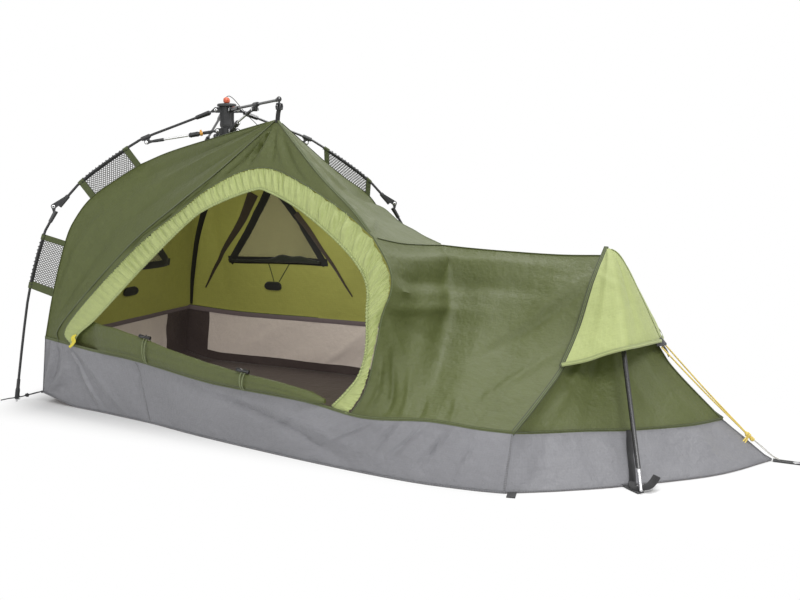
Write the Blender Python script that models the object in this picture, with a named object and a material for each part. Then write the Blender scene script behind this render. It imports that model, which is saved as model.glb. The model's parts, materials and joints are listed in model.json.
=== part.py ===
# One-person pop-up tent with an umbrella frame over its head end and a two-pole frame over its foot.
# Metres, +Z up. The tent lies along X, with its head end at low X and its pointed foot at high X.
# The door is on the side of negative Y. Positions are measured from the middle of the head end,
# on the ground, and ORIGIN_X then moves the origin to the middle of the floor's underside.
import bmesh
import bpy
from math import atan2, cos, exp, hypot, pi, radians, sin, sqrt
from mathutils import Matrix, Vector

# Driving dimensions
ORIGIN_X = 1.0
HUB_X = 0.523
ARM_SPREAD = radians(34.8)
BACK_CORNER_SPREAD = radians(39.0)
POLE_RADIUS = 0.0044
FABRIC = 0.0016
SEAM_GAP = 0.0002
SLIP = 0.0003

# Umbrella hub: pivots of the arms and of the struts, as distance from the hub's axis and height
ARM_PIVOT = (0.037, 0.988)
STRUT_PIVOT = (0.034, 0.918)
PIN_RADIUS = 0.0022
PIN_HOLE = 0.0027
TONGUE_HALF = 0.0036
CHEEK_INNER = 0.0039
CHEEK_OUTER = 0.0072

# Legs, as distance from the hub's axis and height
LEG_POLE = ((0.052, 0.981), (0.165, 0.937), (0.277, 0.893), (0.330, 0.862), (0.410, 0.808),
            (0.490, 0.745), (0.566, 0.660))
LEG_SHIN = ((0.566, 0.660), (0.614, 0.575), (0.669, 0.398), (0.709, 0.180), (0.735, 0.012))
LEG_BRACKET = (0.268, 0.879)
ELBOW = (0.5776, 0.6677)
ELBOW_SETBACK = 0.010
STRUT_OFFSET = 0.0106

# Front arm, which holds up the peak over the door
FRONT_RISE = 0.0245
FRONT_BRACKET = (0.262, 0.979)
FRONT_TIP = (0.446, 1.000)

# Two-pole frame over the foot
FOOT_APEX = (1.838, 0.0, 0.552)
FOOT_STEP = (2.011, 0.402, 0.0085)
FOOT_POLE_RADIUS = 0.0065
FOOT_TIP_RADIUS = 0.0045

# Canopy
PEAK = (0.874, -0.244, 0.942)
HEAD_NEAR = (0.285, -0.166, 0.807)
HEAD_FAR = (0.290, 0.175, 0.807)
BACK_TOP = (0.794, 0.188, 0.815)
FOOT_PEAK = (1.815, 0.0, 0.549)
DOOR_CORNER = (1.26, -0.38, 0.612)
RIDGE_START = (1.316, 0.0, 0.559)
TOE = (2.297, 0.0, 0.0)
TOE_TOP = (2.165, 0.0, 0.10)
HEAD_HIP = ((0.290, 0.807), (0.370, 0.757), (0.454, 0.697), (0.508, 0.630), (0.545, 0.554),
            (0.593, 0.385), (0.628, 0.222))
BACK_HIP = ((0.330, 0.815), (0.401, 0.757), (0.490, 0.690), (0.541, 0.600), (0.567, 0.500),
            (0.602, 0.350), (0.632, 0.212))
NEAR_CORNER_SWING = 0.013

# Curves along the fabric's seams and edges
TUB_NEAR = ((0.0148, -0.3692, 0.222), (0.227, -0.385, 0.201), (0.450, -0.415, 0.191),
            (0.769, -0.472, 0.167), (1.111, -0.525, 0.165), (1.305, -0.541, 0.145),
            (1.491, -0.540, 0.158), (1.620, -0.522, 0.148), (1.702, -0.492, 0.139))
TUB_FAR = ((0.030, 0.388, 0.222), (0.280, 0.400, 0.207), (0.640, 0.398, 0.208),
           (1.0419, 0.3609, 0.212), (1.300, 0.375, 0.180), (1.500, 0.395, 0.152),
           (1.675, 0.405, 0.140))
FLOOR_NEAR = ((0.0, -0.380, 0.034), (0.155, -0.385, 0.0), (0.306, -0.400, 0.0), (0.513, -0.430, 0.0),
              (0.733, -0.476, 0.0), (1.107, -0.535, 0.0), (1.420, -0.566, 0.0), (1.600, -0.560, 0.0),
              (1.700, -0.545, 0.0))
FLOOR_FAR = ((-0.004, 0.402, 0.034), (0.155, 0.410, 0.0), (0.520, 0.412, 0.0), (0.880, 0.402, 0.0),
             (1.0600, 0.378, 0.0), (1.330, 0.412, 0.0), (1.680, 0.460, 0.0))
FLOOR_TOE = ((1.700, -0.545, 0.0), (1.830, -0.467, 0.0), (1.970, -0.365, 0.0), (2.168, -0.190, 0.0),
             (2.297, 0.0, 0.0))
FLOOR_TOE_FAR = ((1.680, 0.460, 0.0), (1.830, 0.420, 0.0), (1.975, 0.350, 0.0), (2.168, 0.190, 0.0),
                 (2.297, 0.0, 0.0))
TUB_TOE = ((1.702, -0.492, 0.139), (1.741, -0.410, 0.121), (1.856, -0.316, 0.115),
           (1.948, -0.241, 0.108), (2.088, -0.121, 0.105), (2.165, 0.0, 0.100))
TUB_TOE_FAR = ((1.675, 0.405, 0.140), (1.741, 0.372, 0.122), (1.856, 0.300, 0.115),
               (1.948, 0.235, 0.108), (2.088, 0.121, 0.105), (2.165, 0.0, 0.100))
DOOR_SEAM = ((0.078, -0.374, 0.216), (0.096, -0.368, 0.285), (0.344, -0.319, 0.542),
             (0.534, -0.294, 0.685), (0.680, -0.276, 0.788), (0.874, -0.244, 0.942))
DOOR_ARCH = ((0.137, -0.379, 0.2095), (0.124, -0.372, 0.281), (0.365, -0.322, 0.530),
             (0.551, -0.297, 0.668), (0.634, -0.288, 0.725), (0.744, -0.282, 0.778),
             (0.836, -0.285, 0.797), (0.916, -0.295, 0.786), (1.047, -0.324, 0.733),
             (1.177, -0.356, 0.666), (1.260, -0.380, 0.612))
DOOR_SIDE = ((1.260, -0.380, 0.612), (1.322, -0.409, 0.535), (1.337, -0.428, 0.476),
             (1.319, -0.449, 0.404), (1.314, -0.469, 0.336), (1.298, -0.504, 0.215),
             (1.267, -0.5395, 0.1465))
BAND_INNER = ((0.196, -0.385, 0.212), (0.207, -0.388, 0.266), (0.424, -0.342, 0.483),
              (0.581, -0.313, 0.626), (0.671, -0.305, 0.681), (0.821, -0.303, 0.732),
              (0.886, -0.311, 0.727), (1.018, -0.339, 0.672), (1.174, -0.383, 0.576),
              (1.255, -0.415, 0.494), (1.272, -0.444, 0.405), (1.283, -0.472, 0.315),
              (1.271, -0.491, 0.248), (1.243, -0.508, 0.204), (1.205, -0.529, 0.160))
DOOR_TO_PEAK = ((0.874, -0.244, 0.942), (1.047, -0.300, 0.782), (1.180, -0.347, 0.684),
                (1.260, -0.380, 0.612))
DOOR_TO_RIDGE = ((1.260, -0.380, 0.612), (1.283, -0.250, 0.585), (1.300, -0.120, 0.570),
                 (1.316, 0.0, 0.559))
BACK_TO_RIDGE = ((0.9253, 0.2798, 0.690), (1.012, 0.220, 0.653), (1.100, 0.150, 0.615),
                 (1.176, 0.090, 0.596), (1.231, 0.050, 0.580), (1.316, 0.0, 0.559))
RIDGE = ((1.316, 0.0, 0.559), (1.412, 0.0, 0.553), (1.537, 0.0, 0.548), (1.687, 0.0, 0.545),
         (1.815, 0.0, 0.549))
NEAR_SEAM = ((1.815, 0.0, 0.549), (1.804, -0.089, 0.459), (1.786, -0.162, 0.340),
             (1.764, -0.247, 0.263), (1.730, -0.384, 0.190), (1.702, -0.492, 0.139))
FAR_SEAM = ((1.815, 0.0, 0.549), (1.802, 0.085, 0.459), (1.782, 0.155, 0.340),
            (1.760, 0.232, 0.263), (1.715, 0.336, 0.190), (1.675, 0.405, 0.140))
TOE_SPINE = ((1.815, 0.0, 0.549), (1.900, 0.0, 0.430), (1.985, 0.0, 0.290), (2.035, 0.0, 0.225),
             (2.165, 0.0, 0.100))
HOOD_TOP = (1.822, 0.0, 0.574)
HOOD_SPINE = ((1.822, 0.0, 0.574), (1.866, 0.0, 0.545), (1.932, 0.0, 0.426), (1.990, 0.0, 0.308))
HOOD_EDGE = ((1.822, 0.0, 0.574), (1.803, -0.094, 0.478), (1.784, -0.172, 0.356),
             (1.764, -0.255, 0.270))
HOOD_HEM = ((1.764, -0.255, 0.270), (1.824, -0.240, 0.285), (1.880, -0.228, 0.308),
            (1.926, -0.213, 0.322), (1.946, -0.164, 0.320), (1.966, -0.106, 0.318),
            (1.984, -0.041, 0.314), (1.990, 0.0, 0.308))

# Windows, with the awnings over them
BACK_WINDOW = ((0.503, 0.275, 0.698), (0.253, 0.355, 0.419), (0.720, 0.345, 0.431))
BACK_HOOD = ((0.500, 0.268, 0.722), (0.141, 0.374, 0.315), (0.815, 0.357, 0.320))
HEAD_WINDOW = ((0.110, 0.010, 0.610), (0.058, 0.245, 0.418), (0.050, -0.225, 0.418))
HEAD_HOOD = ((0.125, 0.010, 0.655), (0.040, 0.275, 0.330), (0.030, -0.255, 0.330))
AWNING_DEPTH = 0.11
WINDOW_REACH = 0.05

# Rolled door on the sill: places along X and half its height there, and its two ties
ROLL_MARKS = ((0.285, 0.044), (0.36, 0.044), (0.48, 0.037), (0.62, 0.032), (0.75, 0.028),
              (0.90, 0.022), (1.05, 0.0175), (1.17, 0.015))
ROLL_HALF_DEPTH = 0.0150
ROLL_CLEARANCE = 0.0080
ROLL_SIDES = 12
ROLL_TIES = (("cord_lock_left", 0.497), ("cord_lock_right", 0.905))

# Cords: radius, the guyline's knot and its start on the hood, and the tub's corner behind leg 2
CORD_RADIUS = 0.0015
GUY_KNOT = (2.233, 0.0, 0.065)
GUY_START = (1.9935, 0.012, 0.2980)
BACK_CORNER = (1.065, 0.383, 0.0)
PEG_HOLE = (0.064, 0.0055)

# Colours, roughness and metallic value of each finish
FINISHES = {
    "olive cloth": ((0.110, 0.155, 0.045), 0.75, 0.0),
    "light green cloth": ((0.500, 0.600, 0.250), 0.75, 0.0),
    "grey tub cloth": ((0.260, 0.260, 0.280), 0.60, 0.0),
    "brown floor cloth": ((0.045, 0.032, 0.030), 0.70, 0.0),
    "black mesh": ((0.015, 0.015, 0.015), 0.80, 0.0),
    "pale net": ((0.550, 0.560, 0.520), 0.80, 0.0),
    "black plastic": ((0.016, 0.017, 0.018), 0.42, 0.0),
    "black pole": ((0.012, 0.012, 0.013), 0.30, 0.0),
    "steel": ((0.600, 0.600, 0.610), 0.28, 1.0),
    "orange plastic": ((0.850, 0.120, 0.035), 0.40, 0.0),
    "amber plastic": ((0.900, 0.380, 0.030), 0.40, 0.0),
    "black webbing": ((0.014, 0.014, 0.015), 0.85, 0.0),
    "yellow cord": ((0.850, 0.650, 0.200), 0.80, 0.0),
}


def finish(name):
    found = bpy.data.materials.get(name)
    if found:
        return found
    colour, roughness, metallic = FINISHES[name]
    made = bpy.data.materials.new(name)
    made.use_nodes = True
    shader = made.node_tree.nodes["Principled BSDF"]
    shader.inputs["Base Color"].default_value = (*colour, 1.0)
    shader.inputs["Roughness"].default_value = roughness
    shader.inputs["Metallic"].default_value = metallic
    return made


# Closed shapes are pairs of points and faces until place() makes them objects
def mesh_of(shape, name="shape"):
    verts, faces = shape
    mesh = bpy.data.meshes.new(name)
    mesh.from_pydata([tuple(v) for v in verts], [], faces)
    work = bmesh.new()
    work.from_mesh(mesh)
    bmesh.ops.recalc_face_normals(work, faces=work.faces)
    if work.calc_volume(signed=True) < 0:
        bmesh.ops.reverse_faces(work, faces=work.faces)
    work.to_mesh(mesh)
    work.free()
    return mesh


def fuse(shapes, cutters=(), common=None):
    # one body from overlapping shapes, less the cutters, or only what lies inside the common shape
    base = bpy.data.objects.new("base", mesh_of(shapes[0]))
    bpy.context.collection.objects.link(base)
    helpers = []
    steps = [(shape, "UNION") for shape in shapes[1:]]
    steps += [(shape, "DIFFERENCE") for shape in cutters]
    steps += [(common, "INTERSECT")] if common else []
    for shape, operation in steps:
        helper = bpy.data.objects.new("helper", mesh_of(shape))
        helper.hide_render = True
        helper.display_type = "WIRE"
        bpy.context.collection.objects.link(helper)
        step = base.modifiers.new(operation, "BOOLEAN")
        step.operation = operation
        step.object = helper
        helpers.append(helper)
    depsgraph = bpy.context.evaluated_depsgraph_get()
    mesh = bpy.data.meshes.new_from_object(base.evaluated_get(depsgraph))
    for helper in helpers + [base]:
        bpy.data.objects.remove(helper)
    return mesh


def place(name, mesh, coat, pivot=(0.0, 0.0, 0.0), turn=0.0, sharp=38):
    # an object whose mesh is measured from its pivot, turned about the vertical by its arm's angle
    thing = bpy.data.objects.new(name, mesh)
    thing.location = Vector(pivot) - Vector((ORIGIN_X, 0.0, 0.0))
    thing.rotation_euler = (0.0, 0.0, turn)
    if not mesh.materials:
        mesh.materials.append(finish(coat))
    mesh.shade_smooth()
    mesh.set_sharp_from_angle(angle=radians(sharp))
    bpy.context.collection.objects.link(thing)
    return thing


def shifted(shape, offset):
    verts, faces = shape
    return [Vector(v) + Vector(offset) for v in verts], faces


def smooth(points, count, samples=24):
    # count + 1 points at even spacing on a smooth curve through the given points
    pts = [Vector(p) for p in points]
    if len(pts) == 2:
        return [pts[0].lerp(pts[1], i / count) for i in range(count + 1)]
    ends = [pts[0] * 2 - pts[1]] + pts + [pts[-1] * 2 - pts[-2]]
    dense = []
    for a, b, c, d in zip(ends, ends[1:], ends[2:], ends[3:]):
        for i in range(samples):
            t = i / samples
            bend = (a * -1 + b * 3 - c * 3 + d) * t ** 3 + (a * 2 - b * 5 + c * 4 - d) * t ** 2
            dense.append((b * 2 + (c - a) * t + bend) / 2)
    dense.append(pts[-1])
    steps = [0.0]
    for a, b in zip(dense, dense[1:]):
        steps.append(steps[-1] + (b - a).length)
    out = [pts[0].copy()]
    k = 0
    for i in range(1, count):
        want = steps[-1] * i / count
        while steps[k + 1] < want:
            k += 1
        out.append(dense[k].lerp(dense[k + 1], (want - steps[k]) / (steps[k + 1] - steps[k])))
    return out + [pts[-1].copy()]


def joined(*curves):
    out = list(curves[0])
    for curve in curves[1:]:
        out += list(curve)[1:]
    return out


def between_x(curve, start, end, count):
    # count + 1 points of a curve that runs along X, from one X to another
    dense = smooth(curve, 400)
    out = []
    for i in range(count + 1):
        want = start + (end - start) * i / count
        k = max(j for j, p in enumerate(dense[:-1]) if p.x <= want + 1e-9)
        a, b = dense[k], dense[k + 1]
        out.append(a.lerp(b, (want - a.x) / (b.x - a.x)))
    return out


def piece_of(path, start, end):
    # the stretch of a polyline between two distances along it
    out = []
    done = 0.0
    for a, b in zip(path, path[1:]):
        step = (b - a).length
        if done + step > start and done < end:
            low = max(start - done, 0.0) / step
            high = min(end - done, step) / step
            if not out:
                out.append(a.lerp(b, low))
            if high - low > 1e-4:
                out.append(a.lerp(b, high))
        done += step
    return out


def length_of(path):
    return sum((b - a).length for a, b in zip(path, path[1:]))


def rings_along(path, radii, sides, flat=1.0):
    path = [Vector(p) for p in path]
    if isinstance(radii, (int, float)):
        radii = [radii] * len(path)
    start = (path[1] - path[0]).normalized()
    side = start.cross(Vector((0.0, 1.0, 0.0)))
    if side.length < 0.3:
        side = start.cross(Vector((0.0, 0.0, 1.0)))
    side.normalize()
    rings = []
    for i, p in enumerate(path):
        before = (p - path[i - 1]).normalized() if i else start
        after = (path[i + 1] - p).normalized() if i + 1 < len(path) else before
        along = (before + after).normalized()
        side = (side - along * side.dot(along)).normalized()
        other = along.cross(side)
        rings.append([p + (side * cos(a) * flat + other * sin(a)) * radii[i]
                      for a in (2 * pi * (k + 0.5) / sides for k in range(sides))])
    return rings


def loft(rings, ends=True):
    sides = len(rings[0])
    verts = [v for ring in rings for v in ring]
    faces = []
    for i in range(len(rings) - 1):
        for k in range(sides):
            n = (k + 1) % sides
            faces.append((i * sides + k, i * sides + n, (i + 1) * sides + n, (i + 1) * sides + k))
    if ends:
        faces.append(tuple(range(sides))[::-1])
        faces.append(tuple((len(rings) - 1) * sides + k for k in range(sides)))
    else:
        last = (len(rings) - 1) * sides
        for k in range(sides):
            n = (k + 1) % sides
            faces.append((last + k, last + n, n, k))
    return verts, faces


def tube(path, radii, sides=10, flat=1.0):
    return loft(rings_along(path, radii, sides, flat))


def pipe(path, outer, bore, sides=12):
    # a tube with an open bore
    out = rings_along(path, outer, sides)
    back = rings_along(path, bore, sides)[::-1]
    return loft(out + back, ends=False)


def plate(outline, low, high):
    # a flat outline of X and Z, as thick as from one Y to the other
    n = len(outline)
    verts = [(x, low, z) for x, z in outline] + [(x, high, z) for x, z in outline]
    faces = [tuple(range(n)), tuple(range(2 * n - 1, n - 1, -1))]
    faces += [(i, (i + 1) % n, n + (i + 1) % n, n + i) for i in range(n)]
    return verts, faces


def eye(center, radius, hole, low, high, heading=0.0, reach=0.0, half=0.0, count=10):
    # a flat eye with a hole, and a stem of the given half width towards its heading
    cx, cz = center
    outer = []
    inner = []
    for i in range(count):
        angle = heading + 2 * pi * i / count
        size = radius
        ahead = cos(angle - heading)
        if reach and ahead > 1e-6:
            across = abs(sin(angle - heading))
            stem = min(reach / ahead, half / across if across > 1e-6 else reach / ahead)
            size = max(size, stem)
        outer.append((cx + size * cos(angle), cz + size * sin(angle)))
        inner.append((cx + hole * cos(angle), cz + hole * sin(angle)))
    verts = []
    for y in (low, high):
        verts += [(x, y, z) for x, z in outer] + [(x, y, z) for x, z in inner]
    faces = []
    for k in range(count):
        n = (k + 1) % count
        a, b = k, n
        c, d = count + n, count + k
        faces.append((a, b, c, d))
        faces.append((2 * count + d, 2 * count + c, 2 * count + b, 2 * count + a))
        faces.append((a, 2 * count + a, 2 * count + b, b))
        faces.append((c, 2 * count + c, 2 * count + d, d))
    return verts, faces


def rivet(center, half, radius=PIN_RADIUS, head=0.0040, rise=0.0012, sides=6):
    # a pin along Y with a low domed head on each end
    cx, cz = center
    path = [(-half - rise, head * 0.8), (-half + 0.0006, head), (-half + 0.0007, radius),
            (half - 0.0007, radius), (half - 0.0006, head), (half + rise, head * 0.8)]
    return tube([(cx, y, cz) for y, _ in path], [r for _, r in path], sides)


def lathe(profile, sides=20, lobes=None):
    # a turned shape about Z from pairs of radius and height; lobes gives extra radius by angle
    rings = []
    for radius, z in profile:
        ring = []
        for k in range(sides):
            a = 2 * pi * k / sides
            r = radius + (lobes(a, z) if lobes else 0.0)
            ring.append((r * cos(a), r * sin(a), z))
        rings.append(ring)
    return loft(rings)


def box(center, size, heading=0.0, pitch=0.0):
    turn = Matrix.Rotation(heading, 3, "Z") @ Matrix.Rotation(-pitch, 3, "Y")
    verts = []
    for x in (-0.5, 0.5):
        for y in (-0.5, 0.5):
            for z in (-0.5, 0.5):
                verts.append(Vector(center) + turn @ Vector((x * size[0], y * size[1], z * size[2])))
    faces = [(0, 1, 3, 2), (4, 6, 7, 5), (0, 4, 5, 1), (2, 3, 7, 6), (0, 2, 6, 4), (1, 5, 7, 3)]
    return verts, faces


# The arms stand at equal angles about the tent's length
ARM_ANGLE = {"leg_1": pi + ARM_SPREAD, "leg_2": ARM_SPREAD, "leg_3": pi - BACK_CORNER_SPREAD,
             "front": -ARM_SPREAD}


def on_arm(arm, r, z, across=0.0):
    angle = ARM_ANGLE[arm]
    x = HUB_X + r * cos(angle) - across * sin(angle)
    return Vector((x, r * sin(angle) + across * cos(angle), z))


def from_pivot(shape, pivot):
    return shifted(shape, (-pivot[0], 0.0, -pivot[1]))


def in_plane(points):
    return [Vector((r, 0.0, z)) for r, z in points]


LEG_PATH = smooth(in_plane(LEG_POLE), 12)
SHIN_PATH = smooth(in_plane(LEG_SHIN), 8)


def heading_of(path):
    step = path[-1] - path[-2]
    return atan2(step.z, step.x)


# Umbrella hub
def arm_lobes(base, width):
    def extra(angle, z):
        out = 0.0
        for centre in ARM_ANGLE.values():
            off = (angle - centre + pi) % (2 * pi) - pi
            out += base * exp(-(off / width) ** 2)
        return out
    return extra


def clevis(pivot, inner_reach, radius, turn):
    # two cheeks that stand out from the hub on both sides of an arm's tongue, and their pin
    r, z = pivot
    outline = [(inner_reach, z - radius), (r, z - radius)]
    outline += [(r + radius * sin(a), z - radius * cos(a)) for a in (pi * i / 5 for i in range(1, 5))]
    outline += [(r, z + radius), (inner_reach, z + radius)]
    shapes = [plate(outline, low, high) for low, high in
              ((-CHEEK_OUTER, -CHEEK_INNER), (CHEEK_INNER, CHEEK_OUTER))]
    shapes.append(rivet(pivot, CHEEK_OUTER))
    spin = Matrix.Rotation(turn, 3, "Z")
    return [([spin @ Vector(v) for v in verts], faces) for verts, faces in shapes]


def hub_pieces():
    centre = (HUB_X, 0.0, 0.0)
    column = lathe(((0.0150, 0.9305), (0.0185, 0.9315), (0.0195, 0.940), (0.0170, 0.955),
                    (0.0175, 0.972), (0.0190, 0.9985), (0.0300, 0.9990), (0.0325, 1.0010),
                    (0.0325, 1.0060), (0.0290, 1.0090), (0.0150, 1.0105)), 20,
                   lambda a, z: arm_lobes(0.006, 0.30)(a, z) if z < 0.9987 else 0.0)
    shapes = [column]
    for angle in ARM_ANGLE.values():
        shapes += clevis(ARM_PIVOT, 0.014, 0.0092, angle)
    socket = lathe(((0.0062, 1.000), (0.0062, 1.020)), 16)
    place("upper_hub", fuse(shapes, [socket]), "black plastic", centre)

    petals = lathe(((0.0055, 1.0025), (0.0055, 1.0110), (0.0125, 1.0115), (0.0150, 1.0150),
                    (0.0155, 1.0210), (0.0140, 1.0260), (0.0090, 1.0300), (0.0035, 1.0306)), 16,
                   lambda a, z: -0.0022 * (1 + cos(2 * (a - 0.4))) if z > 1.0112 else 0.0)
    place("release_knob", fuse([petals]), "orange plastic", centre)

    collar = lathe(((0.0170, 0.8930), (0.0215, 0.8950), (0.0240, 0.9010), (0.0185, 0.9060),
                    (0.0185, 0.9270), (0.0170, 0.9300)), 20,
                   lambda a, z: arm_lobes(0.0055, 0.34)(a, z))
    shapes = [collar]
    for angle in ARM_ANGLE.values():
        shapes += clevis(STRUT_PIVOT, 0.014, 0.0088, angle)
    place("lower_hub", fuse(shapes), "black plastic", centre)


# Legs: the same meshes stand at three corners
def leg_meshes():
    start = Vector((ARM_PIVOT[0], 0.0, ARM_PIVOT[1]))
    aim = atan2(LEG_PATH[1].z - ARM_PIVOT[1], LEG_PATH[1].x - ARM_PIVOT[0])
    tongue = eye(ARM_PIVOT, 0.0082, PIN_HOLE, -TONGUE_HALF, TONGUE_HALF, aim, 0.026, 0.0062)
    neck = piece_of([start] + LEG_PATH, 0.019, 0.072)
    sleeve = tube([neck[0], neck[0].lerp(neck[-1], 0.10), neck[0].lerp(neck[-1], 0.86), neck[-1]],
                  [0.0050, 0.0086, 0.0074, 0.0068], 10)
    end = length_of(LEG_PATH) - ELBOW_SETBACK - 0.002
    pole = tube(piece_of([start] + LEG_PATH, 0.030, end + 0.0165), POLE_RADIUS, 8)
    upper = fuse([from_pivot(s, ARM_PIVOT) for s in (tongue, sleeve, pole)])

    reach = hypot(LEG_BRACKET[0] - LEG_POLE[0][0], LEG_BRACKET[1] - LEG_POLE[0][1])
    low, high, taper = reach - 0.020, reach + 0.012, 0.003
    hold = joined(piece_of(LEG_PATH, low, low + taper), piece_of(LEG_PATH, low + taper, high - taper),
                  piece_of(LEG_PATH, high - taper, high))
    clamp = pipe(hold, [0.0066] + [0.0074] * (len(hold) - 2) + [0.0066], 0.0050, 10)
    r, z = LEG_BRACKET
    lug = plate([(r - 0.0105, z + 0.0143), (r - 0.0075, z - 0.003), (r - 0.004, z - 0.0068),
                 (r + 0.004, z - 0.0068), (r + 0.0075, z - 0.003), (r + 0.0085, z + 0.0080)],
                -0.0028, 0.0066)
    bracket = fuse([clamp, lug])

    strut = strut_mesh(STRUT_PIVOT, LEG_BRACKET, 1)

    down = heading_of(LEG_PATH)
    fork = fork_mesh(LEG_PATH, down)
    shin = shin_mesh()
    return upper, bracket, strut, fork, shin


def strut_mesh(inner, outer, side):
    # eye at the lower hub, lock sleeve, bent rod, and an end plate beside the bracket's lug
    dx, dz = outer[0] - inner[0], outer[1] - inner[1]
    length = hypot(dx, dz)
    aim = atan2(dz, dx)
    offset = STRUT_OFFSET * side
    eye_end = eye((0.0, 0.0), 0.0078, PIN_HOLE, -TONGUE_HALF, TONGUE_HALF, 0.0, 0.024, 0.0052)
    black = tube([(0.016, 0, 0), (0.019, 0, 0), (0.047, offset * 0.25, 0), (0.049, offset * 0.3, 0)],
                 [0.0042, 0.0058, 0.0058, 0.0044], 8)
    lock = tube([(0.060, offset * 0.42, 0), (0.0615, offset * 0.44, 0), (0.094, offset * 0.86, 0),
                 (0.096, offset * 0.9, 0)], [0.0062, 0.0075, 0.0075, 0.0060], 8)
    bend = [(0.040, offset * 0.2, 0), (0.060, offset * 0.42, 0), (0.095, offset * 0.88, 0),
            (0.112, offset, 0), (length - 0.030, offset, 0)]
    rod = tube(bend, 0.0029, 6)
    cap = tube([(length - 0.042, offset, 0), (length - 0.040, offset, 0),
                (length - 0.012, offset, 0), (length - 0.010, offset, 0)],
               [0.0022, 0.0031, 0.0031, 0.0026], 8)
    near, far = offset - 0.0030 * side, offset + 0.0026 * side
    tab = plate([(length + 0.0072 * cos(a), 0.0072 * sin(a)) for a in
                 (radians(-120 + 30 * i) for i in range(9))] + [(length - 0.022, 0.0036),
                                                                (length - 0.022, -0.0036)],
                min(near, far), max(near, far))
    head_at = far + 0.0008 * side
    head = tube([(length, far - 0.001 * side, 0), (length, head_at, 0),
                 (length, head_at + 0.0012 * side, 0)], [0.0040, 0.0040, 0.0022], 8)
    mesh = fuse([eye_end, black, rod, lock, cap, tab, head])
    mesh.transform(Matrix.Rotation(-aim, 4, "Y"))
    return mesh


def fork_mesh(path, heading):
    # sleeve on the pole's end with two cheeks that hold the elbow's pin on the outer side
    total = length_of(path)
    hold = piece_of(path, total - 0.056, total - ELBOW_SETBACK)
    ends = len(hold)
    sleeve = pipe(hold, [0.0066] + [0.0076] * (ends - 1), 0.0050, 10)
    along = Vector((cos(heading), 0.0, sin(heading)))
    out = Vector((-along.z, 0.0, along.x))
    joint = path[-1]
    pin = Vector((ELBOW[0], 0.0, ELBOW[1]))
    stem = [(-0.044, 0.0030), (-0.0112, 0.0030)]
    base = [joint + along * s + out * h for s, h in stem]
    round_end = []
    for i in range(9):
        a = radians(-70 + 22.5 * i)
        round_end.append(pin + along * (0.0082 * cos(a)) + out * (0.0082 * sin(a)))
    back = [joint + along * -0.046 + out * 0.0070]
    outline = [(p.x, p.z) for p in base + round_end + back]
    cheeks = [plate(outline, low, high) for low, high in ((-0.0074, -0.0046), (0.0046, 0.0074))]
    return fuse([sleeve] + cheeks + [rivet(ELBOW, 0.0074)])


def shin_mesh():
    # lower pole with the elbow's tongue and sleeve at its top and a rubber foot with a steel tip
    first = SHIN_PATH[1] - SHIN_PATH[0]
    heading = atan2(first.z, first.x)
    along = Vector((cos(heading), 0.0, sin(heading)))
    out = Vector((-along.z, 0.0, along.x))
    joint = SHIN_PATH[0]
    total = length_of(SHIN_PATH)
    hold = piece_of(SHIN_PATH, ELBOW_SETBACK, 0.052)
    sleeve = tube(hold, [0.0076] * (len(hold) - 1) + [0.0064], 10)
    pole = tube(piece_of(SHIN_PATH, 0.014, total - 0.004), POLE_RADIUS, 8)
    reach_point = joint + along * 0.024
    pin = Vector((ELBOW[0], 0.0, ELBOW[1]))
    aim = atan2(reach_point.z - pin.z, reach_point.x - pin.x)
    tongue = eye(ELBOW, 0.0080, PIN_HOLE, -0.0043, 0.0043, aim, (reach_point - pin).length, 0.0058)
    shoe = piece_of(SHIN_PATH, total - 0.070, total)
    boot = tube(shoe, [0.0058] + [0.0066] * (len(shoe) - 2) + [0.0060], 10)
    toe = shoe[-1]
    way = (shoe[-1] - shoe[-2]).normalized()
    tip = tube([toe - way * 0.004, toe + way * 0.0065, toe + way * 0.0085], [0.0034, 0.0034, 0.0020], 10)
    return fuse([from_pivot(s, ELBOW) for s in (sleeve, pole, tongue, boot, tip)])


def legs():
    upper, bracket, strut, fork, shin = leg_meshes()
    for leg in ("leg_1", "leg_2", "leg_3"):
        turn = ARM_ANGLE[leg]
        axis = (HUB_X, 0.0, 0.0)
        place(leg + "_upper_pole", upper, "black pole", on_arm(leg, *ARM_PIVOT), turn)
        place(leg + "_bracket", bracket, "black plastic", axis, turn)
        place(leg + "_strut", strut, "steel", on_arm(leg, *STRUT_PIVOT), turn)
        place(leg + "_elbow_fork", fork, "black plastic", axis, turn)
        place(leg + "_lower_pole", shin, "black pole", on_arm(leg, *ELBOW), turn)


def front_height(r):
    return ARM_PIVOT[1] + FRONT_RISE * (r - ARM_PIVOT[0])


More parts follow.
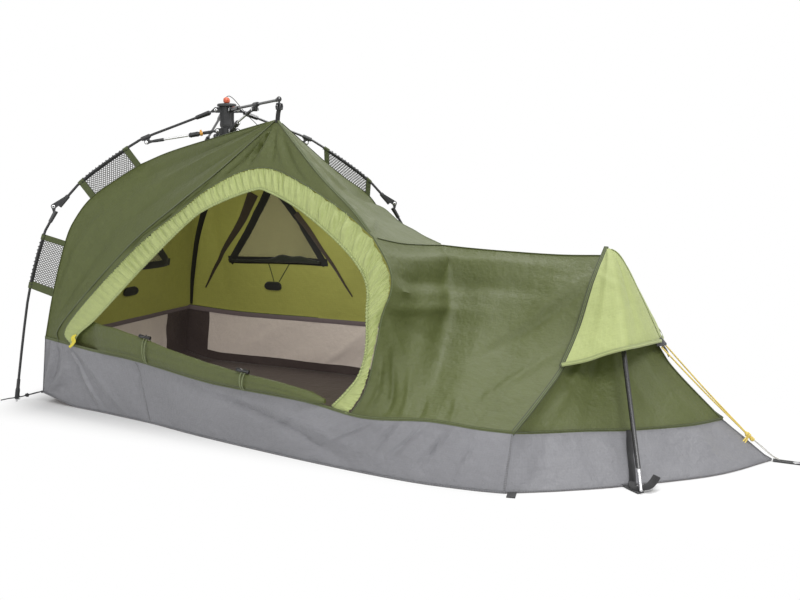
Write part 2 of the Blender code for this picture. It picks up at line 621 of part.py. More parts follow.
def front_arm():
    turn = ARM_ANGLE["front"]
    axis = (HUB_X, 0.0, 0.0)
    line = in_plane([(r, front_height(r)) for r in (0.037, 0.055, 0.060, 0.100, 0.110, 0.250, 0.438)])
    aim = atan2(FRONT_RISE, 1.0)
    tongue = eye(ARM_PIVOT, 0.0082, PIN_HOLE, -TONGUE_HALF, TONGUE_HALF, aim, 0.026, 0.0062)
    sleeve = tube(line[1:5], [0.0050, 0.0086, 0.0074, 0.0068], 10)
    pole = tube([line[2], line[5], line[6]], POLE_RADIUS, 8)
    r, z = FRONT_TIP
    ball = lathe(((0.0024, -0.0080), (0.0062, -0.0055), (0.0082, 0.0), (0.0062, 0.0055),
                  (0.0024, 0.0080)), 12)
    neck = tube([(r - 0.020, 0.0, front_height(r - 0.020)), (r - 0.006, 0.0, z)],
                [0.0058, 0.0064], 12)
    hook = tube([(r, 0.0, z - 0.006), (r, 0.0, z - 0.0125)], 0.0032, 10)
    shapes = [tongue, sleeve, pole, shifted(ball, (r, 0.0, z)), neck, hook]
    place("front_arm", fuse([from_pivot(s, ARM_PIVOT) for s in shapes]), "black pole",
          on_arm("front", *ARM_PIVOT), turn)

    r, z = FRONT_BRACKET
    hold = in_plane([(q, front_height(q)) for q in (r - 0.018, r - 0.014, r + 0.014, r + 0.018)])
    clamp = pipe(hold, [0.0066, 0.0074, 0.0074, 0.0066], 0.0050, 10)
    lug = plate([(r - 0.0100, z + 0.0088), (r - 0.0075, z - 0.003), (r - 0.004, z - 0.0068),
                 (r + 0.004, z - 0.0068), (r + 0.0075, z - 0.003), (r + 0.0100, z + 0.0088)],
                -0.0066, 0.0028)
    place("front_arm_bracket", fuse([clamp, lug]), "black plastic", axis, turn)
    place("front_arm_strut", strut_mesh(STRUT_PIVOT, FRONT_BRACKET, -1), "steel",
          on_arm("front", *STRUT_PIVOT), turn)


def strut_clip():
    # amber collar between the strut's eye and its lock sleeve
    dx, dz = LEG_BRACKET[0] - STRUT_PIVOT[0], LEG_BRACKET[1] - STRUT_PIVOT[1]
    aim = atan2(dz, dx)
    low, high = STRUT_OFFSET * 0.30, STRUT_OFFSET * 0.42
    path = [(0.0498, low, 0), (0.0515, low + 0.0002, 0), (0.0578, high - 0.0001, 0), (0.0594, high, 0)]
    ring = pipe(path, [0.0066, 0.0086, 0.0086, 0.0066], 0.0034, 10)
    lever = box((0.0546, 0.0038, 0.0098), (0.0060, 0.0060, 0.0050))
    mesh = fuse([ring, lever])
    mesh.transform(Matrix.Rotation(-aim, 4, "Y"))
    place("strut_clip", mesh, "amber plastic", on_arm("leg_1", *STRUT_PIVOT), ARM_ANGLE["leg_1"])


# Foot frame: two straight poles that meet in a black joint under the hood
def foot_frame():
    for name, side in (("foot_pole_near", -1), ("foot_pole_far", 1)):
        step = Vector((FOOT_STEP[0], FOOT_STEP[1] * side, FOOT_STEP[2]))
        top = Vector(FOOT_APEX)
        way = (top - step).normalized()
        pole = tube([step + way * 0.044, top - way * 0.030], FOOT_POLE_RADIUS, 12)
        tip_path = [step + way * s for s in (-0.0043, -0.0020, 0.0, 0.047)]
        tip = tube(tip_path, [0.0016, 0.0040, FOOT_TIP_RADIUS, FOOT_TIP_RADIUS], 12)
        pivot = (FOOT_STEP[0], 0.0, FOOT_STEP[2])
        shapes = [shifted(s, (-pivot[0], 0.0, -pivot[2])) for s in (pole, tip)]
        place(name, fuse(shapes), "black pole", pivot)
    top = Vector(FOOT_APEX)
    sockets = []
    bores = []
    for side in (-1, 1):
        step = Vector((FOOT_STEP[0], FOOT_STEP[1] * side, FOOT_STEP[2]))
        way = (step - top).normalized()
        sockets.append(tube([top - way * 0.002, top + way * 0.052, top + way * 0.056],
                            [0.0088, 0.0088, 0.0078], 12))
        bores.append(tube([top + way * 0.0292, top + way * 0.070], 0.0070, 12))
    pivot = (FOOT_STEP[0], 0.0, FOOT_STEP[2])
    move = (-pivot[0], 0.0, -pivot[2])
    mesh = fuse([shifted(s, move) for s in sockets], [shifted(s, move) for s in bores])
    place("foot_apex_joint", mesh, "black plastic", pivot)


# Fabric panels share the points of their seams, so that their thickness meets in a mitre
def coons(bottom, top, left, right, lift=None):
    # a patch between four edges; lift gives its height over the plain patch by its two shares
    rows = len(left) - 1
    columns = len(bottom) - 1
    grid = []
    for i in range(rows + 1):
        v = i / rows
        row = []
        for j in range(columns + 1):
            u = j / columns
            ruled = bottom[j] * (1 - v) + top[j] * v + left[i] * (1 - u) + right[i] * u
            corners = (bottom[0] * (1 - u) * (1 - v) + bottom[-1] * u * (1 - v)
                       + top[0] * (1 - u) * v + top[-1] * u * v)
            row.append(ruled - corners)
        grid.append(row)
    for edge, i in ((bottom, 0), (top, rows)):
        for j in range(columns + 1):
            grid[i][j] = edge[j].copy()
    for edge, j in ((left, 0), (right, columns)):
        for i in range(rows + 1):
            grid[i][j] = edge[i].copy()
    if not lift:
        return grid
    plain = [[p.copy() for p in row] for row in grid]
    for i in range(1, rows):
        for j in range(1, columns):
            du = plain[i][j + 1] - plain[i][j - 1]
            dv = plain[i + 1][j] - plain[i - 1][j]
            normal = du.cross(dv)
            if normal.length > 1e-9:
                normal.normalize()
                normal *= 1 if normal.dot(plain[i][j] - core_near(plain[i][j])) > 0 else -1
                grid[i][j] += normal * lift(j / columns, i / rows)
    return grid


def core_near(p):
    # the point well inside the tent that is nearest to p
    return Vector((min(max(p.x, 0.35), 1.8), 0.0, 0.22))


class Cloth:
    def __init__(self, thickness=FABRIC, gap=SEAM_GAP):
        self.thickness = thickness
        self.gap = gap
        self.points = []
        self.index = {}
        self.panels = {}

    def vertex(self, p):
        key = (round(p.x, 5), round(p.y, 5), round(p.z, 5))
        if key not in self.index:
            self.index[key] = len(self.points)
            self.points.append(Vector(key))
        return self.index[key]

    def add(self, name, grid, inward=False):
        faces = []
        for low, high in zip(grid, grid[1:]):
            for j in range(len(low) - 1):
                corner = [self.vertex(p) for p in (low[j], low[j + 1], high[j + 1], high[j])]
                corner = [c for k, c in enumerate(corner) if c != corner[k - 1]]
                if len(corner) == 4:
                    faces += self.split(corner)
                elif len(corner) == 3:
                    faces.append(corner)
        self.add_faces(name, faces, inward)

    def split(self, quad):
        # both sides of the cloth get the same shorter diagonal
        a, b, c, d = quad
        p = self.points
        if (p[a] - p[c]).length < (p[b] - p[d]).length:
            return [[a, b, c], [a, c, d]]
        return [[a, b, d], [b, c, d]]

    def add_faces(self, name, faces, inward=False):
        facing = 0.0
        for face in faces:
            pts = [self.points[k] for k in face]
            middle = sum(pts, Vector()) / len(pts)
            facing += self.area_normal(face).dot(middle - core_near(middle))
        if (facing < 0) != inward:
            faces = [face[::-1] for face in faces]
        self.panels.setdefault(name, []).extend(faces)

    def area_normal(self, face):
        pts = [self.points[k] for k in face]
        out = Vector()
        for k, p in enumerate(pts):
            out += p.cross(pts[(k + 1) % len(pts)])
        return out / 2

    def depths(self):
        # at each point the step that keeps every panel round it one cloth thick
        by_point = [{} for _ in self.points]
        for name, faces in self.panels.items():
            for face in faces:
                facing = self.area_normal(face)
                for k in face:
                    by_point[k].setdefault(name, Vector())
                    by_point[k][name] += facing
        out = []
        for found in by_point:
            units = [n.normalized() for n in found.values()]
            total = sum(units, Vector())
            step = total * (self.thickness * len(units) / max(total.length_squared, 1e-6))
            longest = 2.2 * self.thickness
            out.append(step if step.length < longest else step.normalized() * longest)
        return out

    def solid(self, name, depths):
        faces = self.panels[name]
        edges = {}
        for face in faces:
            for k, a in enumerate(face):
                edges[(a, face[(k + 1) % len(face)])] = face
        rim = [edge for edge in edges if (edge[1], edge[0]) not in edges]
        inwards = {}
        for a, b in rim:
            way = (self.points[b] - self.points[a]).normalized()
            side = self.area_normal(edges[(a, b)]).normalized().cross(way)
            inwards.setdefault(a, []).append(side)
            inwards.setdefault(b, []).append(side)
        used = sorted({k for face in faces for k in face})
        number = {k: i for i, k in enumerate(used)}
        outer = []
        inner = []
        for k in used:
            p = self.points[k].copy()
            sides = inwards.get(k, [])
            if sides:
                total = sum(sides, Vector())
                lean = sides[0].dot(sides[-1]) if len(sides) > 1 else 1.0
                p += total * (self.gap / max(1.0 + lean, 0.4) if len(sides) > 1 else self.gap)
            outer.append(p)
            inner.append(p - depths[k])
        n = len(used)
        out = [tuple(number[k] for k in face) for face in faces]
        out += [tuple(n + number[k] for k in reversed(face)) for face in faces]
        for a, b in rim:
            # both panels at a seam split its edge along the same diagonal
            first, last = min(a, b), max(a, b)
            low = (self.points[first] - self.points[last] + depths[last]).length
            high = (self.points[last] - self.points[first] + depths[first]).length
            up_a, up_b, down_a, down_b = number[a], number[b], n + number[a], n + number[b]
            if (low <= high) == (first == a):
                out += [(up_b, up_a, down_b), (up_a, down_a, down_b)]
            else:
                out += [(up_b, up_a, down_a), (up_b, down_a, down_b)]
        return outer + inner, out


def hip(arm, profile, count, swing=0.0):
    top, bottom = profile[0][1], profile[-1][1]
    pts = [on_arm(arm, r, z, swing * (top - z) / (top - bottom)) for r, z in profile]
    return smooth(pts, count)


HIP_COUNT = 12
ROOF_COUNT = 7
HEAD_COUNT = 6
SIDE_COUNT = 6
SADDLE_COUNT = 10
RIDGE_COUNT = 7
PANEL_COUNT = 8
TOE_COUNT = 6
STRIP_COUNT = 3
BAND_COUNT = 50
HOOD_COLUMNS = 5
HOOD_ROWS = 7


def sag(depth):
    return lambda u, v: -depth * sin(pi * u) * sin(pi * v)


def tent_curves():
    # every seam once, so that the panels on its two sides share its points
    c = {}
    near_hip = hip("leg_1", HEAD_HIP, HIP_COUNT, NEAR_CORNER_SWING)
    near_hip[-1] = Vector(TUB_NEAR[0])
    far_hip = hip("leg_3", HEAD_HIP, HIP_COUNT)
    far_hip[-1] = Vector(TUB_FAR[0])
    split = 4
    back_hip = hip("leg_2", BACK_HIP, HIP_COUNT)
    back_hip[-1] = Vector(TUB_FAR[3])
    for curve, corner in ((near_hip, HEAD_NEAR), (far_hip, HEAD_FAR), (back_hip, BACK_TOP)):
        curve[0] = Vector(corner)
    c["near_hip"], c["far_hip"], c["back_hip"] = near_hip, far_hip, back_hip
    c["head_top"] = smooth([HEAD_NEAR, HEAD_FAR], HEAD_COUNT)
    c["near_top"] = smooth([HEAD_NEAR, (0.447, -0.170, 0.857), PEAK], ROOF_COUNT)
    c["far_top"] = smooth([HEAD_FAR, BACK_TOP], ROOF_COUNT)
    c["peak_back"] = smooth([PEAK, BACK_TOP], SIDE_COUNT)
    back_ridge = [back_hip[split]] + [Vector(p) for p in BACK_TO_RIDGE[1:]]
    c["back_ridge"] = smooth(back_ridge, SADDLE_COUNT - split)
    c["back_hip_top"] = back_hip[:split + 1]
    c["back_hip_low"] = back_hip[split:]
    c["door_ridge"] = smooth(DOOR_TO_RIDGE, SIDE_COUNT)
    c["peak_door"] = smooth(DOOR_TO_PEAK, SADDLE_COUNT)
    c["door_seam"] = smooth(DOOR_SEAM, HIP_COUNT + ROOF_COUNT)
    c["arch"] = smooth(DOOR_ARCH, HIP_COUNT + ROOF_COUNT + SADDLE_COUNT)
    c["door_side"] = smooth(DOOR_SIDE, PANEL_COUNT)
    c["ridge"] = smooth(RIDGE, RIDGE_COUNT)
    c["near_seam"] = smooth(NEAR_SEAM, PANEL_COUNT)
    c["far_seam"] = smooth(FAR_SEAM, PANEL_COUNT)
    c["spine"] = smooth(TOE_SPINE, PANEL_COUNT)
    c["head_tub"] = smooth([TUB_NEAR[0], (0.004, 0.0, 0.214), TUB_FAR[0]], HEAD_COUNT)
    near = TUB_NEAR
    seam_x, arch_x, side_x = DOOR_SEAM[0][0], DOOR_ARCH[0][0], DOOR_SIDE[-1][0]
    c["tub_a"] = between_x(near, near[0][0], seam_x, STRIP_COUNT)
    c["tub_b"] = between_x(near, seam_x, arch_x, STRIP_COUNT)
    c["tub_sill"] = between_x(near, arch_x, side_x, 12)
    c["tub_c"] = between_x(near, side_x, near[-1][0], SIDE_COUNT + RIDGE_COUNT)
    c["door_seam"][0] = c["tub_a"][-1].copy()
    c["arch"][0] = c["tub_b"][-1].copy()
    c["door_side"][-1] = c["tub_c"][0].copy()
    far = TUB_FAR
    c["tub_e"] = between_x(far, far[0][0], far[3][0], ROOF_COUNT)
    c["tub_f"] = between_x(far, far[3][0], far[-1][0], SADDLE_COUNT - split + RIDGE_COUNT)
    c["tub_e"][-1] = c["tub_f"][0] = back_hip[-1].copy()
    c["toe_near"] = smooth(TUB_TOE, TOE_COUNT)
    c["toe_far"] = smooth(TUB_TOE_FAR, TOE_COUNT)
    return c


def canopy(c):
    cloth = Cloth()
    column = lambda a, b, count: smooth([a, b], count)
    cloth.add("head_wall", coons(c["head_top"], c["head_tub"], c["near_hip"], c["far_hip"],
                                 lambda u, v: sag(0.012)(u, v) + 0.004 * sin(5 * pi * u) * v * (1 - v) * 4))
    cloth.add("far_wall", coons(c["far_top"], c["tub_e"], c["far_hip"], c["back_hip"],
                                lambda u, v: sag(0.014)(u, v) + 0.003 * sin(6 * pi * u) * v * (1 - v) * 4))

    shoulder_left = joined(c["near_hip"][::-1], c["near_top"])
    peak_fan = [Vector(PEAK)] * (STRIP_COUNT + 1)
    pleat = lambda u, v: 0.0045 * sin(4 * pi * u) * sin(pi * v) * v
    cloth.add("crown", coons(c["tub_a"], peak_fan, shoulder_left, c["door_seam"],
                             lambda u, v: sag(0.010)(u, v) + pleat(u, v)))
    cloth.add("crown", coons(c["head_top"], c["peak_back"], c["near_top"], c["far_top"],
                             lambda u, v: sag(0.022)(u, v)))
    saddle_far = joined(c["back_hip_top"], c["back_ridge"])
    cloth.add("crown", coons(c["peak_back"], c["door_ridge"], c["peak_door"], saddle_far,
                             lambda u, v: sag(0.016)(u, v) + 0.004 * sin(5 * pi * u) * sin(pi * v)))

    outer = joined(c["door_seam"], c["peak_door"])
    end_fan = [Vector(DOOR_CORNER)] * (STRIP_COUNT + 1)
    fan = lambda u, v: 0.0032 * sin(pi * u) * sin(19 * pi * v) * sin(pi * v)
    cloth.add("door_surround", coons(c["tub_b"], end_fan, outer, c["arch"], fan))

    top = joined(c["door_ridge"], c["ridge"])
    wave = lambda u, v: 0.006 * sin(7 * pi * u + 1.5 * v) * sin(pi * v) * sin(pi * u)
    cloth.add("front_panel", coons(top, c["tub_c"], c["door_side"], c["near_seam"],
                                   lambda u, v: sag(0.020)(u, v) + wave(u, v)))
    far_top = joined(c["back_ridge"], c["ridge"])
    cloth.add("far_roof", coons(far_top, c["tub_f"], c["back_hip_low"], c["far_seam"],
                                lambda u, v: sag(0.020)(u, v) + wave(u, v)))
    toe_fan = [Vector(FOOT_PEAK)] * (TOE_COUNT + 1)
    cloth.add("foot_end_near", coons(toe_fan, c["toe_near"], c["near_seam"], c["spine"], sag(0.008)))
    cloth.add("foot_end_far", coons(toe_fan, c["toe_far"], c["far_seam"], c["spine"], sag(0.008)))

    floor_head = smooth([FLOOR_NEAR[0], (-0.004, -0.25, 0.0), (-0.004, 0.25, 0.0), FLOOR_FAR[0]],
                        HEAD_COUNT)
    tub_near = joined(c["tub_a"], c["tub_b"], c["tub_sill"], c["tub_c"])
    floor_near = smooth(FLOOR_NEAR, len(tub_near) - 1)
    tub_far = joined(c["tub_e"], c["tub_f"])
    floor_far = smooth(FLOOR_FAR, len(tub_far) - 1)
    floor_toe = smooth(FLOOR_TOE, TOE_COUNT)
    floor_toe_far = smooth(FLOOR_TOE_FAR, TOE_COUNT)
    for curve in (floor_head, floor_near, floor_far):
        for p in curve:
            p.z = max(p.z, 0.0)
    crease = lambda u, v: 0.004 * sin(11 * pi * u) * sin(pi * v)
    for name, low, high, start, end in (
            ("tub_head", floor_head, c["head_tub"], c["near_hip"], c["far_hip"]),
            ("tub_near", floor_near, tub_near, c["near_hip"], c["near_seam"]),
            ("tub_far", floor_far, tub_far, c["far_hip"], c["far_seam"]),
            ("tub_foot", floor_toe, c["toe_near"], c["near_seam"], c["spine"]),
            ("tub_foot", floor_toe_far, c["toe_far"], c["far_seam"], c["spine"])):
        cloth.add(name, coons(low, high, column(low[0], start[-1], 2), column(low[-1], end[-1], 2),
                              crease))
    near_edge = floor_near + floor_toe[1:]
    far_edge = floor_far + floor_toe_far[1:]
    flat = next(k for k, p in enumerate(far_edge) if p.z == 0.0 and near_edge[k].z == 0.0)
    half = len(floor_head) // 2
    faces = faces_from(cloth, floor_head[half], near_edge[1:flat + 1])
    faces += faces_from(cloth, floor_head[half], far_edge[1:flat + 1])
    faces += faces_from(cloth, near_edge[1], floor_head[:half + 1])
    faces += faces_from(cloth, far_edge[1], floor_head[half:])
    faces += faces_from(cloth, floor_head[half], [near_edge[flat], far_edge[flat]])
    cloth.add_faces("tub_floor", faces + faces_between(cloth, near_edge[flat:], far_edge[flat:]))
    return cloth


def faces_from(cloth, point, edge):
    # a fan of triangles from one point, all the same way up
    up = (edge[1] - edge[0]).cross(point - edge[0]).z > 0
    return [[cloth.vertex(p) for p in ((point, a, b) if up else (point, b, a))]
            for a, b in zip(edge, edge[1:])]


def faces_between(cloth, one, other):
    # triangles between two edges that run the same way, walked along both at one pace
    pace = []
    for edge in (one, other):
        gone = [0.0]
        for a, b in zip(edge, edge[1:]):
            gone.append(gone[-1] + (b - a).length)
        pace.append([g / gone[-1] for g in gone])
    faces = []
    i = j = 0
    while i + 1 < len(one) or j + 1 < len(other):
        if j + 1 == len(other) or (i + 1 < len(one) and pace[0][i + 1] < pace[1][j + 1]):
            corners = (one[i], one[i + 1], other[j])
            i += 1
        else:
            corners = (one[i], other[j + 1], other[j])
            j += 1
        found = [cloth.vertex(p) for p in corners]
        if len(set(found)) == 3:
            faces.append(found)
    return faces


def prism(corners, reach, shrink=0.0):
    pts = [Vector(p) for p in corners]
    middle = sum(pts, Vector()) / len(pts)
    pts = [p + (middle - p).normalized() * shrink for p in pts]
    normal = (pts[1] - pts[0]).cross(pts[2] - pts[0]).normalized()
    verts = [p + normal * reach for p in pts] + [p - normal * reach for p in pts]
    n = len(pts)
    faces = [tuple(range(n)), tuple(range(2 * n - 1, n - 1, -1))]
    faces += [(i, (i + 1) % n, n + (i + 1) % n, n + i) for i in range(n)]
    return verts, faces


def place_canopy(cloth):
    coats = {"head_wall": "olive cloth", "far_wall": "olive cloth", "crown": "olive cloth",
             "door_surround": "olive cloth", "front_panel": "olive cloth",
             "far_roof": "olive cloth", "foot_end_near": "olive cloth",
             "foot_end_far": "olive cloth", "tub_head": "grey tub cloth",
             "tub_near": "grey tub cloth", "tub_far": "grey tub cloth",
             "tub_foot": "grey tub cloth", "tub_floor": "brown floor cloth"}
    depths = cloth.depths()
    windows = {"head_wall": ("head_window_mesh", HEAD_WINDOW),
               "far_wall": ("far_window_mesh", BACK_WINDOW)}
    for name, coat in coats.items():
        shape = cloth.solid(name, depths)
        if name in windows:
            net, corners = windows[name]
            place(name, fuse([shape], [prism(corners, WINDOW_REACH)]), coat)
            inner = prism(corners, WINDOW_REACH, 0.0010)
            place(net, fuse([shape], common=inner), "black mesh")
        elif name == "tub_foot":
            place(name, fuse([shape] + webbings()), coat)
        else:
            place(name, mesh_of(shape), coat)


def webbings():
    # straps down both corners of the foot, and a peg loop at each of the tub's widest points
    out = []
    for side, toe, tub in ((-1, FLOOR_TOE, TUB_TOE), (1, FLOOR_TOE_FAR, TUB_TOE_FAR)):
        low = Vector(toe[2])
        strap = [low + Vector((-0.010, -side * 0.006, 0.0045)), low + Vector((0.010, side * 0.012, 0.0018)),
                 Vector((FOOT_STEP[0], side * FOOT_STEP[1], 0.0015))]
        out.append(ribbon(strap, 0.020, 0.0026, Vector((0.0, 0.0, 1.0))))
        corner = Vector(toe[0]).lerp(Vector(toe[1]), 0.16)
        loop = [corner + Vector((-0.004, -side * 0.012, 0.0034)),
                corner + Vector((0.0, side * 0.012, 0.0018)), corner + Vector((0.004, side * 0.034, 0.0015))]
        out.append(ribbon(loop, 0.022, 0.0026, Vector((0.0, 0.0, 1.0))))
    return out


def ribbon(path, width, thick, up):
    # a flat band of webbing along a path
    path = [Vector(p) for p in path]
    rings = []
    for i, p in enumerate(path):
        before = (p - path[i - 1]) if i else (path[1] - path[0])
        after = (path[i + 1] - p) if i + 1 < len(path) else before
        along = (before.normalized() + after.normalized()).normalized()
        side = along.cross(up).normalized() * (width / 2)
        rise = side.cross(along).normalized() * (thick / 2)
        rings.append([p - side - rise, p + side - rise, p + side + rise, p - side + rise])
    return loft(rings)


def hoods():
    cloth = Cloth(FABRIC, 0.0)
    top = [Vector(HOOD_TOP)] * (HOOD_COLUMNS + 1)
    hem = smooth(HOOD_HEM, HOOD_COLUMNS)
    edge = smooth(HOOD_EDGE, HOOD_ROWS)
    spine = smooth(HOOD_SPINE, HOOD_ROWS)
    mirror = lambda pts: [Vector((p.x, -p.y, p.z)) for p in pts]
    cloth.add("foot_hood", coons(top, hem, edge, spine, lambda u, v: 0.006 * sin(pi * u) * sin(pi * v)))
    cloth.add("foot_hood", coons(top, mirror(hem), mirror(edge), spine,
                                 lambda u, v: 0.006 * sin(pi * u) * sin(pi * v)))
    place("foot_hood", mesh_of(cloth.solid("foot_hood", cloth.depths())), "light green cloth")

    for name, corners, out in (("head_hood", HEAD_HOOD, Vector((-1.0, 0.0, 0.25))),
                               ("far_hood", BACK_HOOD, Vector((0.0, 1.0, 0.25)))):
        awning = Cloth(FABRIC, 0.0)
        clear = out.normalized() * 0.022
        top, left, right = [Vector(p) + clear for p in corners]
        front = (left + right) / 2 + out.normalized() * AWNING_DEPTH
        for side in (left, right):
            rows = [[top, top, top]]
            for share in (1 / 3, 2 / 3, 1):
                a, b = top.lerp(side, share), top.lerp(front, share)
                rows.append([a, (a + b) / 2 + out * 0.006 * share, b])
            awning.add(name, rows)
        place(name, mesh_of(awning.solid(name, awning.depths())), "olive cloth")


def door_parts(c):
    # gathered light green band round the door, set a little inside the arch's seam
    outer = joined(smooth(DOOR_ARCH, 38), smooth(DOOR_SIDE, 12))
    inner = smooth(BAND_INNER, BAND_COUNT)
    band = Cloth(FABRIC, 0.0)
    rows = []
    for i, (a, b) in enumerate(zip(outer, inner)):
        way = (b - a).normalized()
        start = a + way * (0.0042 if i < 37 else 0.0095)
        if i == BAND_COUNT:
            start.z += 0.004
        along = (outer[min(i + 1, BAND_COUNT)] - outer[max(i - 1, 0)]).normalized()
        puff = way.cross(along).normalized()
        puff *= -1 if puff.y > 0 else 1
        gather = 0.0022 * (-1 if i % 2 else 1)
        row = []
        for j in range(3):
            share = j / 2
            lift = 0.0040 * sin(pi * share) + gather * sin(pi * min(share * 1.3, 1.0))
            row.append(start.lerp(b, share) + puff * lift)
        rows.append(row)
    band.add("door_band", rows)
    place("door_band", mesh_of(band.solid("door_band", band.depths())), "light green cloth")

    # rolled door lying on the sill, deep and flattened near the head and thinner towards the foot
    sill = smooth(TUB_NEAR, 200)
    path = []
    heights = []
    for x, half in ROLL_MARKS:
        base = min(sill, key=lambda p: abs(p.x - x))
        path.append(Vector((x, base.y - 0.004, base.z + half + ROLL_CLEARANCE)))
        heights.append(half)
    fine = smooth(path, 18)
    rings = []
    for i, p in enumerate(fine):
        x = p.x
        k = max(j for j in range(len(ROLL_MARKS) - 1) if ROLL_MARKS[j][0] <= x + 1e-6)
        (start, low), (end, high) = ROLL_MARKS[k:k + 2]
        half = low + (high - low) * (x - start) / (end - start)
        close = min(1.0, 0.35 + 0.65 * min(i, len(fine) - 1 - i) / 1.5)
        ring = []
        for j in range(ROLL_SIDES):
            a = 2 * pi * j / ROLL_SIDES
            fold = 1 + 0.07 * sin(3 * a + 5.0 * x)
            tall = half * (0.97 if sin(a) < 0 else 1.0) * sin(a)
            ring.append(p + Vector((0.0, ROLL_HALF_DEPTH * close * cos(a) * fold, tall * close)))
        rings.append(ring)
    place("door_roll", mesh_of(loft(rings)), "olive cloth")

    for name, x in ROLL_TIES:
        k = min(range(len(fine)), key=lambda n: abs(fine[n].x - x))
        p = fine[k]
        half = max(abs(v.z - p.z) for v in rings[k])
        loop = []
        for j in range(16):
            a = 2 * pi * j / 16
            drop = 0.0042 if sin(a) < 0 else 0.0060
            loop.append(Vector((x, p.y + 0.0215 * cos(a), p.z + (half + drop) * sin(a))))
        strap = closed_loop(loop, 0.0013, 6)
        bar_at = Vector((x, p.y - 0.003, p.z + half + 0.0100))
        bar = tube([bar_at + Vector((-0.011, -0.002, 0.002)), bar_at + Vector((0.011, 0.002, -0.002))],
                   0.0036, 10)
        place(name, fuse([strap, bar]), "black plastic")


def closed_loop(points, radius, sides):
    # a cord of constant thickness along a closed path
    n = len(points)
    rings = []
    centre = sum(points, Vector()) / n
    for i, p in enumerate(points):
        along = (points[(i + 1) % n] - points[i - 1]).normalized()
        out = (p - centre)
        out = (out - along * out.dot(along)).normalized()
        other = along.cross(out)
        rings.append([p + (out * cos(a) + other * sin(a)) * radius
                      for a in (2 * pi * (k + 0.5) / sides for k in range(sides))])
    return loft(rings, ends=False)


# Net strips that hang the canopy from the leg poles by sleeves
NET_SEAM = 0.0055


def connectors():
    spans = (("upper", LEG_PATH, (0.335, 0.488), (0.305, 0.452)),
             ("lower", SHIN_PATH, (0.616, 0.668), (0.549, 0.590)))
    for leg in ("leg_1", "leg_2", "leg_3"):
        profile = BACK_HIP if leg == "leg_2" else HEAD_HIP
        edge_line = smooth(in_plane(profile), 60)
        for part, path, reach, hip_reach in spans:
            if leg == "leg_2":
                hip_reach = (0.350, 0.480) if part == "upper" else (0.552, 0.584)
            pole = [p for p in path if reach[0] - 0.012 <= p.x <= reach[1] + 0.012]
            sleeve = pipe(pole, 0.0061, 0.0050, 8)
            hips = [p for p in edge_line if hip_reach[0] <= p.x <= hip_reach[1]]
            count = 3
            hips = smooth([hips[0], hips[len(hips) // 2], hips[-1]], count)
            tops = smooth([pole[0], pole[len(pole) // 2], pole[-1]], count)
            low = []
            high = []
            for k, (a, b) in enumerate(zip(tops, hips)):
                way = (b - a).normalized()
                along = (tops[min(k + 1, count)] - tops[max(k - 1, 0)]).normalized()
                square = sqrt(1.0 - along.dot(way) ** 2)
                high.append(a + way * (NET_SEAM / square))
                low.append(b - way * 0.0045)
            outline = [(p.x, p.z) for p in high] + [(p.x, p.z) for p in reversed(low)]
            sheet = plate(outline, -0.0008, 0.0008)
            mesh = fuse([sleeve, sheet], net_holes(high, low))
            place(leg + "_net_" + part, mesh, "pale net", (HUB_X, 0.0, 0.0), ARM_ANGLE[leg])


def net_holes(high, low):
    # slanting openings that leave the net's straps between them
    holes = []
    rows = 2
    for i in range(len(high) - 1):
        for row in range(rows):
            shares = ((row + 0.16) / rows, (row + 0.84) / rows)
            corners = []
            for along, down in ((0.14, 0), (0.86, 0), (0.86, 1), (0.14, 1)):
                a = high[i].lerp(high[i + 1], along)
                b = low[i].lerp(low[i + 1], along)
                p = a.lerp(b, 0.06 + 0.88 * shares[down])
                corners.append((p.x, p.z))
            holes.append(plate(corners, -0.004, 0.004))
    return holes


def peak_strap():
    # ring under the front arm's tip and the strap from it to the canopy's peak
    r, z = FRONT_TIP
    top = z - 0.0125 - SLIP
    half = 0.0075
    loop = []
    for i in range(16):
        a = 2 * pi * i / 16
        loop.append(Vector((r + half * cos(a), 0.0, top - 0.0016 - half + half * sin(a))))
    ring = closed_loop(loop, 0.0016, 8)
    peak_r = hypot(PEAK[0] - HUB_X, PEAK[1])
    strap = ribbon([(r, 0.0, top - 2 * half - 0.0020), (peak_r + 0.001, 0.0, PEAK[2] + 0.0040)],
                   0.0110, 0.0020, Vector((1.0, 0.0, 0.3)))
    place("peak_strap", fuse([ring, strap]), "black webbing", (HUB_X, 0.0, 0.0), ARM_ANGLE["front"])


# Cords
def cord(name, points, radius, coat, count):
    # a round cord along a smooth route, as a bevelled curve with closed ends
    route = smooth(points, count)
    data = bpy.data.curves.new(name, "CURVE")
    data.dimensions = "3D"
    data.bevel_depth = radius
    data.bevel_resolution = 2
    data.use_fill_caps = True
    line = data.splines.new("POLY")
    line.points.add(len(route) - 1)
    for spot, p in zip(line.points, route):
        spot.co = (*p, 1.0)
    data.materials.append(finish(coat))
    thing = bpy.data.objects.new(name, data)
    thing.location = (-ORIGIN_X, 0.0, 0.0)
    bpy.context.collection.objects.link(thing)
    return thing


RELEASE_CORD = ((0.523, 0.0, 1.0322), (0.527, 0.0005, 1.0336), (0.534, 0.002, 1.0340),
                (0.548, 0.006, 1.0240), (0.568, 0.012, 1.0000), (0.590, 0.019, 0.9720),
                (0.612, 0.030, 0.9480), (0.634, 0.036, 0.9240), (0.648, 0.038, 0.9000))


